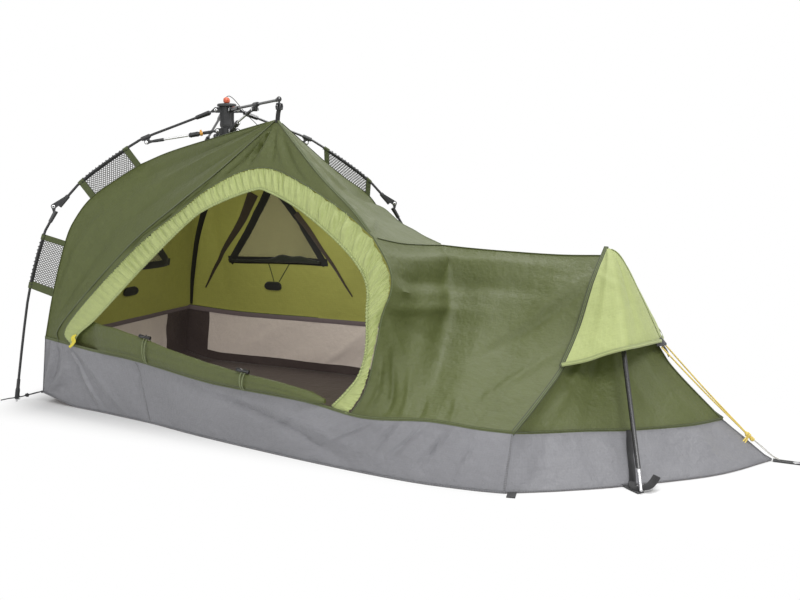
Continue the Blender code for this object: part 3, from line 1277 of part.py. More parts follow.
def cords():
    cord("release_cord", RELEASE_CORD, 0.0012, "black webbing", 15)

    knot = Vector(GUY_KNOT)
    x, half, z = GUY_START
    strands = []
    for side in (-1, 1):
        start = Vector((x, side * half, z))
        strands.append(tube(smooth([start, knot + Vector((0.0, side * CORD_RADIUS, 0.0))], 3),
                            CORD_RADIUS, 6))
    reach = half + CORD_RADIUS
    cross = tube([Vector((x, -reach, z - 0.0005)), Vector((x, reach, z - 0.0005))], CORD_RADIUS, 6)
    ball = tube([knot + Vector((-0.006, 0.0, 0.006)), knot + Vector((-0.003, 0.0, 0.003)),
                 knot + Vector((0.004, 0.0, -0.004)), knot + Vector((0.007, 0.0, -0.007))],
                [0.0020, 0.0048, 0.0048, 0.0020], 8)
    lead = tube(smooth([knot, (2.285, 0.0, 0.022), (2.316, 0.0, 0.0062)], 4), CORD_RADIUS, 6)
    tail = tube(smooth([knot, (2.230, -0.014, 0.056), (2.227, -0.028, 0.045)], 2), 0.0014, 6)
    place("guyline", fuse(strands + [cross, ball, lead, tail]), "yellow cord")

    for leg in ("leg_1", "leg_2", "leg_3"):
        corner_cord(leg)


def corner_cord(leg):
    # elastic cord from the tub's corner, doubled as far as its knot and single round the leg's foot
    away = 0.0115
    foot_r = LEG_SHIN[-1][0] - 0.002
    foot = on_arm(leg, foot_r, 0.015, -away)
    corners = {"leg_1": Vector(FLOOR_NEAR[0]), "leg_2": Vector(BACK_CORNER),
               "leg_3": Vector(FLOOR_FAR[0])}
    corner = corners[leg].copy()
    corner.z = max(corner.z + 0.004, 0.012)
    pull = (Vector((foot.x, foot.y, corner.z)) - corner).normalized()
    start = corner + pull * 0.0045
    knot = start.lerp(foot, 0.62)
    knot.z = max(knot.z, 0.010)
    side = Vector((-pull.y, pull.x, 0.0))
    strands = [tube([start + side * 0.001 * k, start.lerp(knot, 0.5) + side * 0.0042 * k,
                     knot + side * 0.001 * k], 0.0014, 6) for k in (-1, 1)]
    way = (foot - knot).normalized()
    ball = tube([knot - way * 0.006, knot - way * 0.003, knot + way * 0.004, knot + way * 0.007],
                [0.0018, 0.0046, 0.0046, 0.0018], 8)
    outward = on_arm(leg, foot_r + 0.060, 0.0045, -away - 0.012)
    tail = tube(smooth([knot, foot, on_arm(leg, foot_r + 0.030, 0.011, -away - 0.006), outward], 7),
                0.0014, 6)
    place(leg + "_corner_cord", fuse(strands + [ball, tail]), "black webbing")


def foot_strap():
    # webbing from the toe of the tub to the peg, with the peg's hole near its end
    toe = Vector(TOE)
    strap = ribbon([toe + Vector((0.004, 0.0, 0.0022)), toe + Vector((0.030, 0.0, 0.0016)),
                    toe + Vector((0.078, 0.0, 0.0014))], 0.022, 0.0026, Vector((0.0, 0.0, 1.0)))
    along, radius = PEG_HOLE
    hole = lathe(((radius, -0.01), (radius, 0.02)), 12)
    place("foot_strap", fuse([strap], [shifted(hole, toe + Vector((along, 0.0, 0.0)))]),
          "black webbing")


def main():
    for thing in list(bpy.data.objects):
        bpy.data.objects.remove(thing)
    hub_pieces()
    legs()
    front_arm()
    strut_clip()
    foot_frame()
    curves = tent_curves()
    place_canopy(canopy(curves))
    hoods()
    door_parts(curves)
    connectors()
    peak_strap()
    cords()
    foot_strap()


main()
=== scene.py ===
# One-person tent with an umbrella frame over its head end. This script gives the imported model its
# cloth, seams, cords, fittings and finishes, in metres. The tent's own lines are measured from the
# middle of the head end on the ground, and the model's origin stands originX further along.
import json
from math import cos, exp, hypot, pi, radians, sin

import bmesh
import bpy
import numpy as np
from mathutils import Matrix, Vector, noise
from mathutils.bvhtree import BVHTree

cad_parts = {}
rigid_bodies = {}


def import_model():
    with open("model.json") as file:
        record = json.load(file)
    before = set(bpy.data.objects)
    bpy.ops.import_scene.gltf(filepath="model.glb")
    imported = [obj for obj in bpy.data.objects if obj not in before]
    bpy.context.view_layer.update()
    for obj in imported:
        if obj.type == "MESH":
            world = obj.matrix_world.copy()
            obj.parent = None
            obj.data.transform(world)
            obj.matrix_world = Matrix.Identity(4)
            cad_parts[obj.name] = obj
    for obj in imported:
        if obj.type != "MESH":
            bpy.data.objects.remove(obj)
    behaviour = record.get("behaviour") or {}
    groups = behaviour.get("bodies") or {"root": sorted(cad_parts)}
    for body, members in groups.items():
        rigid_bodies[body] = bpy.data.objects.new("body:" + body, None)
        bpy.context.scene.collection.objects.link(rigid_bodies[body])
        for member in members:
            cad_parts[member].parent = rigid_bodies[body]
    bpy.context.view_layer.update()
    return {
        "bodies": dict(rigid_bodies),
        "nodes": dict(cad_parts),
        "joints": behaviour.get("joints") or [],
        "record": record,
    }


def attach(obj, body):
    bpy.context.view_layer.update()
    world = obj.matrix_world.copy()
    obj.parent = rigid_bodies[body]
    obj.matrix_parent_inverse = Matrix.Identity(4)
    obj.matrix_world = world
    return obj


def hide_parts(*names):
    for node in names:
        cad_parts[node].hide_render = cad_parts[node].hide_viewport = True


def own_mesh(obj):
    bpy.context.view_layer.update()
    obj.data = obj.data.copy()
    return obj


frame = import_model()
print("frame loaded")

originX = 1.0
hubX = 0.523
armAngle = {"leg_1": pi + radians(34.8), "leg_2": radians(34.8), "leg_3": pi - radians(39.0),
            "front": -radians(34.8)}

legs = ("leg_1", "leg_2", "leg_3")
curveSteps = 24


def smoothLine(points, count):
    # count + 1 evenly spaced points on a smooth curve through the given ones
    pts = np.array(points, float)
    if len(pts) == 2:
        share = np.linspace(0, 1, count + 1)[:, None]
        return pts[0] * (1 - share) + pts[1] * share
    ends = np.vstack([pts[0] * 2 - pts[1], pts, pts[-1] * 2 - pts[-2]])
    t = (np.arange(curveSteps) / curveSteps)[:, None]
    dense = []
    for a, b, c, d in zip(ends, ends[1:], ends[2:], ends[3:]):
        bend = (b * 3 - a - c * 3 + d) * t ** 3 + (a * 2 - b * 5 + c * 4 - d) * t ** 2
        dense.append((b * 2 + (c - a) * t + bend) / 2)
    dense = np.vstack(dense + [pts[-1:]])
    gone = np.concatenate([[0], np.cumsum(np.linalg.norm(np.diff(dense, axis=0), axis=1))])
    want = np.linspace(0, gone[-1], count + 1)
    return np.stack([np.interp(want, gone, dense[:, k]) for k in range(3)], axis=1)


def unit(vectors):
    return vectors / np.linalg.norm(vectors, axis=-1, keepdims=True)


def slopeOf(path):
    return unit(np.gradient(path, axis=0))


def lineLength(points):
    return float(np.linalg.norm(np.diff(np.array(points), axis=0), axis=1).sum())


def joined(*curves):
    return np.vstack([curves[0]] + [c[1:] for c in curves[1:]])


def betweenX(curve, start, end, count):
    dense = smoothLine(curve, 600)
    want = np.linspace(start, end, count + 1)
    return np.stack([np.interp(want, dense[:, 0], dense[:, k]) for k in range(3)], axis=1)


def onArm(arm, r, z, across=0.0):
    # a point in an arm's upright plane, or beside it
    a = armAngle[arm]
    return np.array((hubX + r * cos(a) - across * sin(a), r * sin(a) + across * cos(a), z))


# The camera stands where the photograph was taken
view = {"place": (1.349, -2.601, 0.825), "down": 8.93, "turn": 24.4, "lens": 40.5}


def makeCamera():
    data = bpy.data.cameras.new("camera")
    data.lens = view["lens"]
    data.sensor_width = 36.0
    camera = bpy.data.objects.new("camera", data)
    camera.location = view["place"]
    camera.rotation_euler = (radians(90 - view["down"]), 0.0, radians(view["turn"]))
    bpy.context.collection.objects.link(camera)
    bpy.context.scene.camera = camera


makeCamera()


# Finishes: an expression on signals adds the shader nodes that work it out
class Signal:
    def __init__(self, finish, socket):
        self.finish = finish
        self.socket = socket

    def math(self, operation, *values):
        return self.finish.math(operation, *values)

    def above(self, edge):
        return self.math("GREATER_THAN", self, edge)

    def most(self, other):
        return self.math("MAXIMUM", self, other)

    def ramp(self, low, high):
        # 0 below low and 1 above high, with a soft step between
        return self.finish.node("MapRange", {"interpolation_type": "SMOOTHSTEP"},
                                {"Value": self, "From Min": low, "From Max": high})


for ahead, behind, operation in (("__add__", "__radd__", "ADD"), ("__sub__", "__rsub__", "SUBTRACT"),
                                 ("__mul__", "__rmul__", "MULTIPLY"), ("__pow__", "__rpow__", "POWER"),
                                 ("__truediv__", "__rtruediv__", "DIVIDE")):
    setattr(Signal, ahead, lambda self, other, kind=operation: self.math(kind, self, other))
    setattr(Signal, behind, lambda self, other, kind=operation: self.math(kind, other, self))


class Finish:
    def __init__(self, name, colour, roughness, **fixed):
        self.material = bpy.data.materials.new(name)
        self.material.use_nodes = True
        self.tree = self.material.node_tree
        self.shader = self.tree.nodes["Principled BSDF"]
        self.feed("Base Color", (*colour, 1.0))
        self.feed("Roughness", roughness)
        for socket, value in fixed.items():
            self.feed(socket.replace("_", " "), value)

    def node(self, kind, settings=None, values=None, out=0):
        made = self.tree.nodes.new("ShaderNode" + kind)
        for name, value in (settings or {}).items():
            setattr(made, name, value)
        for name, value in (values or {}).items():
            if isinstance(value, Signal):
                self.tree.links.new(value.socket, made.inputs[name])
            else:
                made.inputs[name].default_value = value
        return Signal(self, made.outputs[out])

    def feed(self, name, value):
        if isinstance(value, Signal):
            self.tree.links.new(value.socket, self.shader.inputs[name])
        else:
            self.shader.inputs[name].default_value = value

    def place(self):
        return self.node("TexCoord", out=3)

    def cut(self):
        # metres across and along the cloth's own threads
        return self.node("UVMap", {"uv_map": "threads"})

    def math(self, operation, *values):
        return self.node("Math", {"operation": operation}, dict(enumerate(values)))

    def axis(self, vector, which):
        return self.node("SeparateXYZ", None, {0: vector}, out=which)

    def turn(self, vector, angle):
        return self.node("VectorRotate", {"rotation_type": "Z_AXIS"},
                         {"Vector": vector, "Angle": radians(angle)})

    def noise(self, scale, detail=2.0, rough=0.5):
        return self.node("TexNoise", None, {"Vector": self.place(), "Scale": scale,
                                            "Detail": detail, "Roughness": rough})

    def waves(self, period, vector, direction="X"):
        # bands with a period in metres
        return self.node("TexWave", {"bands_direction": direction},
                         {"Vector": vector, "Scale": 2 * pi / (20 * period)}, out=1)

    def mix(self, factor, a, b):
        a, b = [(*c, 1.0) if isinstance(c, tuple) and len(c) == 3 else c for c in (a, b)]
        return self.node("Mix", {"data_type": "RGBA"}, {0: factor, 6: a, 7: b}, out=2)

    def bump(self, height, distance, strength=1.0):
        self.feed("Normal", self.node("Bump", None, {"Height": height, "Distance": distance,
                                                     "Strength": strength}))


def shade(colour, share):
    return tuple(min(1.0, c * share) for c in colour)


# oliveInside, tubInside and awningInside are lit copies, much lighter than the outer cloth, and every look
# with a glow shines on its own: both are painted light standing in for daylight through the thin cloth
clothLook = {
    "olive": {"colour": (0.086, 0.104, 0.025), "rough": 0.5, "sheen": 0.04, "crinkle": 1.0},
    "oliveInside": {"colour": (0.3, 0.3, 0.07), "rough": 0.7, "sheen": 0.1, "crinkle": 0.8, "glow": 0.27},
    "lightGreen": {"colour": (0.43, 0.49, 0.195), "rough": 0.6, "sheen": 0.12, "crinkle": 0.8},
    "lightGreenInside": {"colour": (0.4, 0.46, 0.19), "rough": 0.7, "sheen": 0.1, "crinkle": 0.6,
        "glow": 0.3},
    "tubGrey": {"colour": (0.24, 0.24, 0.256), "rough": 0.38, "sheen": 0.08, "crinkle": 1.1},
    "tubInside": {"colour": (0.44, 0.38, 0.34), "rough": 0.6, "sheen": 0.1, "crinkle": 0.9, "glow": 0.42},
    "floorBrown": {"colour": (0.062, 0.046, 0.044), "rough": 0.46, "sheen": 0.1, "crinkle": 0.9,
        "glow": 0.22},
    "bindingBrown": {"colour": (0.1, 0.078, 0.08), "rough": 0.7, "sheen": 0.1, "crinkle": 0.3, "glow": 0.42},
    # the awnings' inner faces, seen through the windows: painted light, a pale lit copy of the olive with a
    # strong glow
    "awningInside": {"colour": (0.42, 0.39, 0.18), "rough": 0.7, "sheen": 0.1, "crinkle": 0.8, "glow": 0.78},
}


# painted shade: the cloth's glow is darker next to the leaning head wall, where it lies in shade
headWallShade = {"slope": 0.25, "from": -1.035, "to": -0.985, "share": 0.42}


def makeCloth(name, look):
    # coated woven cloth: threads, a faint reinforcing grid, crinkles and uneven dye
    f = Finish(name, look["colour"], look["rough"], Sheen_Weight=look["sheen"], Sheen_Roughness=0.4)
    uv = f.cut()
    weave, reinforced = 0.0011, 0.0085
    threads = f.waves(weave, uv) * 0.5 + f.waves(weave, uv, "Y") * 0.5
    grid = (f.waves(reinforced, uv) ** 30).most(f.waves(reinforced, uv, "Y") ** 30)
    broad = f.noise(2.6, 3.0, 0.55)
    fine = f.noise(55.0, 6.0, 0.6)
    small = f.noise(310.0, 2.0)
    crinkle = fine * 0.7 + f.noise(17.0, 5.0, 0.55) * 1.3
    tone = broad * 0.16 + fine * 0.1 + small * 0.06 + threads * 0.05 + grid * 0.03
    dark, pale = shade(look["colour"], 0.8), shade(look["colour"], 1.2)
    f.feed("Base Color", f.mix(tone.ramp(0.05, 0.34), dark, pale))
    f.feed("Roughness", look["rough"] - 0.1 + fine * 0.14 + broad * 0.08)
    f.bump(crinkle * look["crinkle"] + threads * 0.03 + grid * 0.03, 0.0048, 0.9)
    if "glow" in look:
        # painted light: a glow that stands in for daylight coming through the thin cloth
        even = f.mix(tone.ramp(0.05, 0.34), shade(look["colour"], 0.85), shade(look["colour"], 1.1))
        place = f.place()
        g = headWallShade
        # painted shade: towards the head wall the glow falls to a dark share of the colour
        fromHead = (f.axis(place, 0) - f.axis(place, 2) * g["slope"]).ramp(g["from"], g["to"])
        f.feed("Emission Color", f.mix(fromHead, shade(look["colour"], g["share"]), even))
        f.feed("Emission Strength", look["glow"])
    return f.material


def makeMesh(name, colour, period, share):
    # a net with see-through cells: share is how much of it the threads cover
    f = Finish(name, colour, 0.7)
    uv = f.cut()
    one, other = (f.waves(period, f.turn(uv, angle)) for angle in (38, -38))
    threads = one.most(other)
    f.feed("Alpha", threads.ramp(1.0 - share, 1.0 - share + 0.1))
    f.feed("Base Color", f.mix(f.noise(60.0, 3.0), shade(colour, 0.75), shade(colour, 1.2)))
    return f.material


def makePlastic(name, colour, rough, coat=0.0):
    # moulded plastic: fine grain, rubbed edges and some dust
    f = Finish(name, colour, rough, Coat_Weight=coat, Coat_Roughness=0.15)
    grainy = f.noise(900.0, 2.0)
    dust = f.noise(38.0, 5.0, 0.6)
    pointed = f.node("NewGeometry", out=7)
    worn = pointed.ramp(0.53, 0.62)
    tinted = f.mix(dust.ramp(0.45, 0.75) * 0.25, colour, shade(colour, 2.6))
    f.feed("Base Color", f.mix(worn * 0.5, tinted, tuple(c * 0.6 + 0.06 for c in colour)))
    f.feed("Roughness", rough - 0.06 + dust * 0.16 + grainy * 0.05)
    f.bump(grainy * 0.25 + dust * 0.15, 0.0003, 0.5)
    return f.material


def makePole(name, colour, tips=None):
    # wrapped glossy rod, with the wrapping's faint spiral, and a boot and a steel tip by height
    f = Finish(name, colour, 0.26, Coat_Weight=0.35, Coat_Roughness=0.12)
    place = f.place()
    height = f.axis(place, 2)
    wrap = f.waves(0.006, place, "DIAGONAL")
    scuff = f.noise(130.0, 4.0, 0.65)
    black = f.mix(scuff.ramp(0.55, 0.75) * 0.3 + wrap * 0.05, colour, shade(colour, 4.5))
    rough = 0.2 + scuff * 0.18
    if tips:
        boot = 1 - height.ramp(tips["boot"], tips["boot"] + 0.0005)
        tip = 1 - height.ramp(tips["tip"], tips["tip"] + 0.0005)
        black = f.mix(boot, black, tips["bootColour"])
        black = f.mix(tip, black, (0.52, 0.52, 0.53))
        rough = rough + boot * (1 - tip) * 0.3
        f.feed("Metallic", tip)
    f.feed("Base Color", black)
    f.feed("Roughness", rough)
    f.bump(wrap * 0.2 + scuff * 0.2, 0.0002, 0.4)
    return f.material


def makeSteel(name, colour=(0.6, 0.6, 0.61), rough=0.26):
    # drawn steel with lengthwise brushing and faint stains
    f = Finish(name, colour, rough, Metallic=1.0)
    brushed = f.noise(700.0, 3.0)
    stain = f.noise(45.0, 4.0)
    f.feed("Base Color", f.mix(stain.ramp(0.4, 0.8), colour, shade(colour, 0.72)))
    f.feed("Roughness", rough - 0.05 + brushed * 0.12 + stain * 0.08)
    f.bump(brushed, 0.0001, 0.3)
    return f.material


def makeWebbing(name, colour, rib=0.0022):
    # woven tape with ribs across it
    f = Finish(name, colour, 0.82, Sheen_Weight=0.25)
    uv = f.cut()
    ribs = f.waves(rib, uv, "Y")
    picks = f.waves(rib * 0.6, uv)
    f.feed("Base Color", f.mix(ribs * 0.5 + f.noise(140.0, 3.0) * 0.3, shade(colour, 0.7),
                               shade(colour, 1.7)))
    f.bump(ribs * 0.6 + picks * 0.4, 0.0006, 0.8)
    return f.material


def makeStitched(name, colour, stitchAt, thread):
    # a seam's tape or hem with two rows of stitches, puckered a little by its thread
    rough = 0.6
    f = Finish(name, colour, rough, Sheen_Weight=0.15)
    uv = f.cut()
    across = f.math("ABSOLUTE", f.axis(uv, 0), 0.0)
    row = 1 - f.math("ABSOLUTE", across - stitchAt, 0.0).ramp(0.0004, 0.0009)
    dash = f.waves(0.0042, uv, "Y").ramp(0.25, 0.45)
    pucker = f.noise(260.0, 3.0)
    tone = f.noise(40.0, 4.0)
    cloth = f.mix(tone, shade(colour, 0.72), shade(colour, 1.15))
    # painted shade: the tape darkens beyond its stitch rows, towards its edges
    cloth = f.mix(across.ramp(stitchAt + 0.0012, stitchAt + 0.0022) * 0.8, cloth, shade(colour, 0.4))
    # the thread's own colour on the stitches, and painted shade in the pits between them
    f.feed("Base Color", f.mix(row * dash, f.mix(row * (1 - dash), cloth, shade(colour, 0.5)), thread))
    f.feed("Roughness", rough - 0.06 + tone * 0.14)
    f.bump(row * dash * 0.8 + pucker * 0.5 - row * (1 - dash) * 0.6, 0.001, 0.8)
    return f.material


def makeBraid(name, colour, period=0.0035):
    # braided cord: two crossing spirals of strands
    f = Finish(name, colour, 0.72, Sheen_Weight=0.3)
    place = f.place()
    strands = f.waves(period, place, "DIAGONAL")
    crossing = f.waves(period, f.turn(place, 90), "DIAGONAL")
    f.feed("Base Color", f.mix(strands * 0.4 + crossing * 0.3, shade(colour, 0.72), shade(colour, 1.15)))
    f.bump(strands.most(crossing), 0.0004, 0.7)
    return f.material


looks = {name: makeCloth(name, look) for name, look in clothLook.items()}
finishes = {
    "windowMesh": (makeMesh, (0.11, 0.11, 0.07), 0.002, 0.2),
    "paleNet": (makeMesh, (0.16, 0.16, 0.155), 0.0066, 0.44),
    "blackPlastic": (makePlastic, (0.018, 0.019, 0.02), 0.42),
    "blackGloss": (makePole, (0.004, 0.004, 0.005)),
    "orangePlastic": (makePlastic, (0.82, 0.13, 0.045), 0.38, 0.2),
    "amberPlastic": (makePlastic, (0.9, 0.4, 0.03), 0.36, 0.2),
    "pole": (makePole, (0.012, 0.012, 0.013)),
    "legPole": (makePole, (0.012, 0.012, 0.013), {"boot": 0.066, "tip": 0.0125,
        "bootColour": (0.022, 0.022, 0.023)}),
    "footPole": (makePole, (0.014, 0.014, 0.015), {"boot": 0.054, "tip": 0.052,
        "bootColour": (0.3, 0.3, 0.3)}),
    "steel": (makeSteel,),
    "paleSteel": (makeSteel, (0.8, 0.8, 0.8), 0.34),
    "blackWebbing": (makeWebbing, (0.016, 0.016, 0.017)),
    "oliveTape": (makeWebbing, (0.07, 0.086, 0.03), 0.003),
    # painted shadow: the brown for the awning's shadow strips inside the far wall
    "brownTape": (makeWebbing, (0.062, 0.044, 0.03), 0.003),
    "blackTape": (makeWebbing, (0.014, 0.014, 0.013), 0.003),
    "oliveSeam": (makeStitched, (0.066, 0.08, 0.023), 0.0022, (0.2, 0.26, 0.1)),
    "oliveHem": (makeStitched, (0.084, 0.1, 0.028), 0.0028, (0.2, 0.26, 0.1)),
    "tubSeam": (makeStitched, (0.18, 0.18, 0.19), 0.0015, (0.36, 0.36, 0.38)),
    "greenHem": (makeStitched, (0.44, 0.5, 0.21), 0.0026, (0.3, 0.38, 0.13)),
    "blackNetCloth": (makeWebbing, (0.016, 0.02, 0.012), 0.003),
    "yellowTape": (makeWebbing, (0.9, 0.62, 0.06), 0.003),
    "yellowCord": (makeBraid, (0.86, 0.66, 0.16)),
    "blackCord": (makeBraid, (0.014, 0.014, 0.015), 0.0025),
    "whiteLine": (makeBraid, (0.7, 0.68, 0.62), 0.002),
    "oliveCord": (makeBraid, (0.2, 0.235, 0.105), 0.0025),
}
for name, (make, *given) in finishes.items():
    looks[name] = make(name, *given)
print("finishes made")


def linked(name, data):
    thing = bpy.data.objects.new(name, data)
    bpy.context.collection.objects.link(thing)
    return thing


def settle(thing, body, replaced=(), fold=False):
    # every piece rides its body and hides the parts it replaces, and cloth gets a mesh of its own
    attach(thing, body)
    if replaced:
        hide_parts(*replaced)
    if fold:
        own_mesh(thing)


def addPiece(name, mesh, look, body, replaced=(), fold=False):
    mesh.transform(Matrix.Translation((-originX, 0.0, 0.0)))
    thing = linked(name, mesh)
    found = [look] * max(1, len(mesh.materials)) if isinstance(look, str) else look
    for k, one in enumerate(found):
        if k < len(mesh.materials):
            mesh.materials[k] = looks[one]
        else:
            mesh.materials.append(looks[one])
    settle(thing, body, replaced, fold)
    return thing


def threaded(name, verts, faces, spots):
    # a mesh whose threads map holds each corner's place on the cloth, in metres
    mesh = bpy.data.meshes.new(name)
    mesh.from_pydata(verts, [], faces)
    layer = mesh.uv_layers.new(name="threads")
    for corner in mesh.loops:
        layer.data[corner.index].uv = spots[corner.vertex_index]
    return mesh


def reworked(mesh, *steps):
    work = bmesh.new()
    work.from_mesh(mesh)
    for step in steps:
        step(work)
    work.to_mesh(mesh)
    work.free()
    return mesh


def turnOut(work):
    bmesh.ops.recalc_face_normals(work, faces=work.faces)


def ringsAlong(path, radii, sides=10):
    path = np.array(path, float)
    radii = np.broadcast_to(np.array(radii, float), (len(path),))
    ahead = slopeOf(path)
    side = np.cross(ahead[0], (0.0, 1.0, 0.0))
    if np.linalg.norm(side) < 0.3:
        side = np.cross(ahead[0], (0.3, 0.2, 1.0))
    rings = []
    angles = 2 * pi * (np.arange(sides) + 0.5) / sides
    for p, way, r in zip(path, ahead, radii):
        side = unit(side - way * side.dot(way))
        other = np.cross(way, side)
        rings.append(p + r * (np.cos(angles)[:, None] * side + np.sin(angles)[:, None] * other))
    return np.array(rings)


def tubeMesh(name, parts, smooth=42):
    # one mesh from several tubes: rings, whether they close on themselves, and places across a tape
    verts, faces, spots = [], [], []
    for rings, loop, *shares in parts:
        base = len(verts)
        count, sides = len(rings), len(rings[0])
        verts += [tuple(v) for ring in rings for v in ring]
        gone = np.concatenate([[0], np.cumsum(np.linalg.norm(np.diff(rings.mean(1), axis=0), axis=1))])
        around = np.linalg.norm(rings[0][1] - rings[0][0])
        across = shares[0] if shares else [k * around for k in range(sides)]
        spots += [(across[k], gone[i]) for i in range(count) for k in range(sides)]
        for i in range(count if loop else count - 1):
            n = (i + 1) % count
            for k in range(sides):
                m = (k + 1) % sides
                faces.append((base + i * sides + k, base + i * sides + m, base + n * sides + m,
                              base + n * sides + k))
        if not loop:
            faces.append(tuple(base + k for k in range(sides))[::-1])
            faces.append(tuple(base + (count - 1) * sides + k for k in range(sides)))
    mesh = reworked(threaded(name, verts, faces, spots), turnOut)
    mesh.shade_smooth()
    mesh.set_sharp_from_angle(angle=radians(smooth))
    return mesh


def addTubes(name, parts, look, body="tent_body", replaced=(), fold=True):
    return addPiece(name, tubeMesh(name, parts), look, body, replaced, fold)


def tube(path, radii, sides=10, loop=False):
    return ringsAlong(path, radii, sides), loop


def turned(profile, centre, axis=(0.0, 0.0, 1.0), sides=20):
    # a turned shape from pairs of radius and distance along its axis
    way = Vector(axis).normalized()
    side = way.orthogonal().normalized()
    other = way.cross(side)
    rings = []
    for r, along in profile:
        rings.append([Vector(centre) + way * along + (side * cos(a) + other * sin(a)) * r
                      for a in (2 * pi * k / sides for k in range(sides))])
    return np.array([[tuple(v) for v in ring] for ring in rings]), False


def band(path, width, thick, across):
    # flat tape along a path: across is its width's direction at each point, or one for all
    path = np.array(path, float)
    across = np.broadcast_to(np.array(across, float), path.shape)
    ahead = slopeOf(path)
    side = unit(across - ahead * (across * ahead).sum(1)[:, None])
    rise = np.cross(ahead, side)
    shares = ((-0.5, -0.5), (0.5, -0.5), (0.5, 0.5), (-0.5, 0.5))
    rings = np.stack([path + side * width * a + rise * thick * b for a, b in shares], axis=1)
    return rings, False


def knotRings(centre, way, size):
    # an overhand knot as a short lumpy barrel with three wraps
    way = Vector(way).normalized()
    side = way.orthogonal().normalized()
    other = way.cross(side)
    sides = 12
    rings = []
    for i in range(13):
        t = i / 12
        body = size * (sin(pi * min(max(t, 0.04), 0.96)) ** 0.45) * (1 + 0.14 * cos(6 * pi * t))
        ring = []
        for k in range(sides):
            a = 2 * pi * k / sides
            r = body * (1 + 0.1 * cos(2 * a + 5 * t))
            around = (side * cos(a) + other * sin(a)) * r
            ring.append(tuple(Vector(centre) + way * (t - 0.5) * size * 2.6 + around))
        rings.append(ring)
    return np.array(rings), False


def wirePiece(name, points, radius, look, body, count=40, replaced=()):
    # a round cord as a curve with closed ends
    route = smoothLine(points, count)
    data = bpy.data.curves.new(name, "CURVE")
    data.dimensions = "3D"
    data.bevel_depth = radius
    data.bevel_resolution = 3
    data.use_fill_caps = True
    line = data.splines.new("POLY")
    line.points.add(len(route) - 1)
    for spot, p in zip(line.points, route):
        spot.co = (p[0] - originX, p[1], p[2], 1.0)
    data.materials.append(looks[look])
    thing = linked(name, data)
    settle(thing, body, replaced)
    return thing, route


releaseCord = {
    "route": ((0.523, 0.0, 1.0322), (0.527, 0.0005, 1.0336), (0.534, 0.002, 1.034), (0.548, 0.006, 1.024),
              (0.568, 0.012, 1.0), (0.59, 0.019, 0.972), (0.612, 0.03, 0.948), (0.634, 0.036, 0.924),
              (0.648, 0.038, 0.9)),
    "radius": 0.0012, "knot": 0.0032,
}


def makeReleaseCord():
    c = releaseCord
    thing, route = wirePiece("releaseCord", c["route"], c["radius"], "blackCord", "release_knob",
                             40, ["release_cord"])
    way = unit(route[-1] - route[-2])
    knot = addTubes("releaseCordKnot", [knotRings(route[-1] - way * 0.004, way, c["knot"])], "blackCord",
                    "release_knob", fold=False)


makeReleaseCord()
print("camera and release cord made")


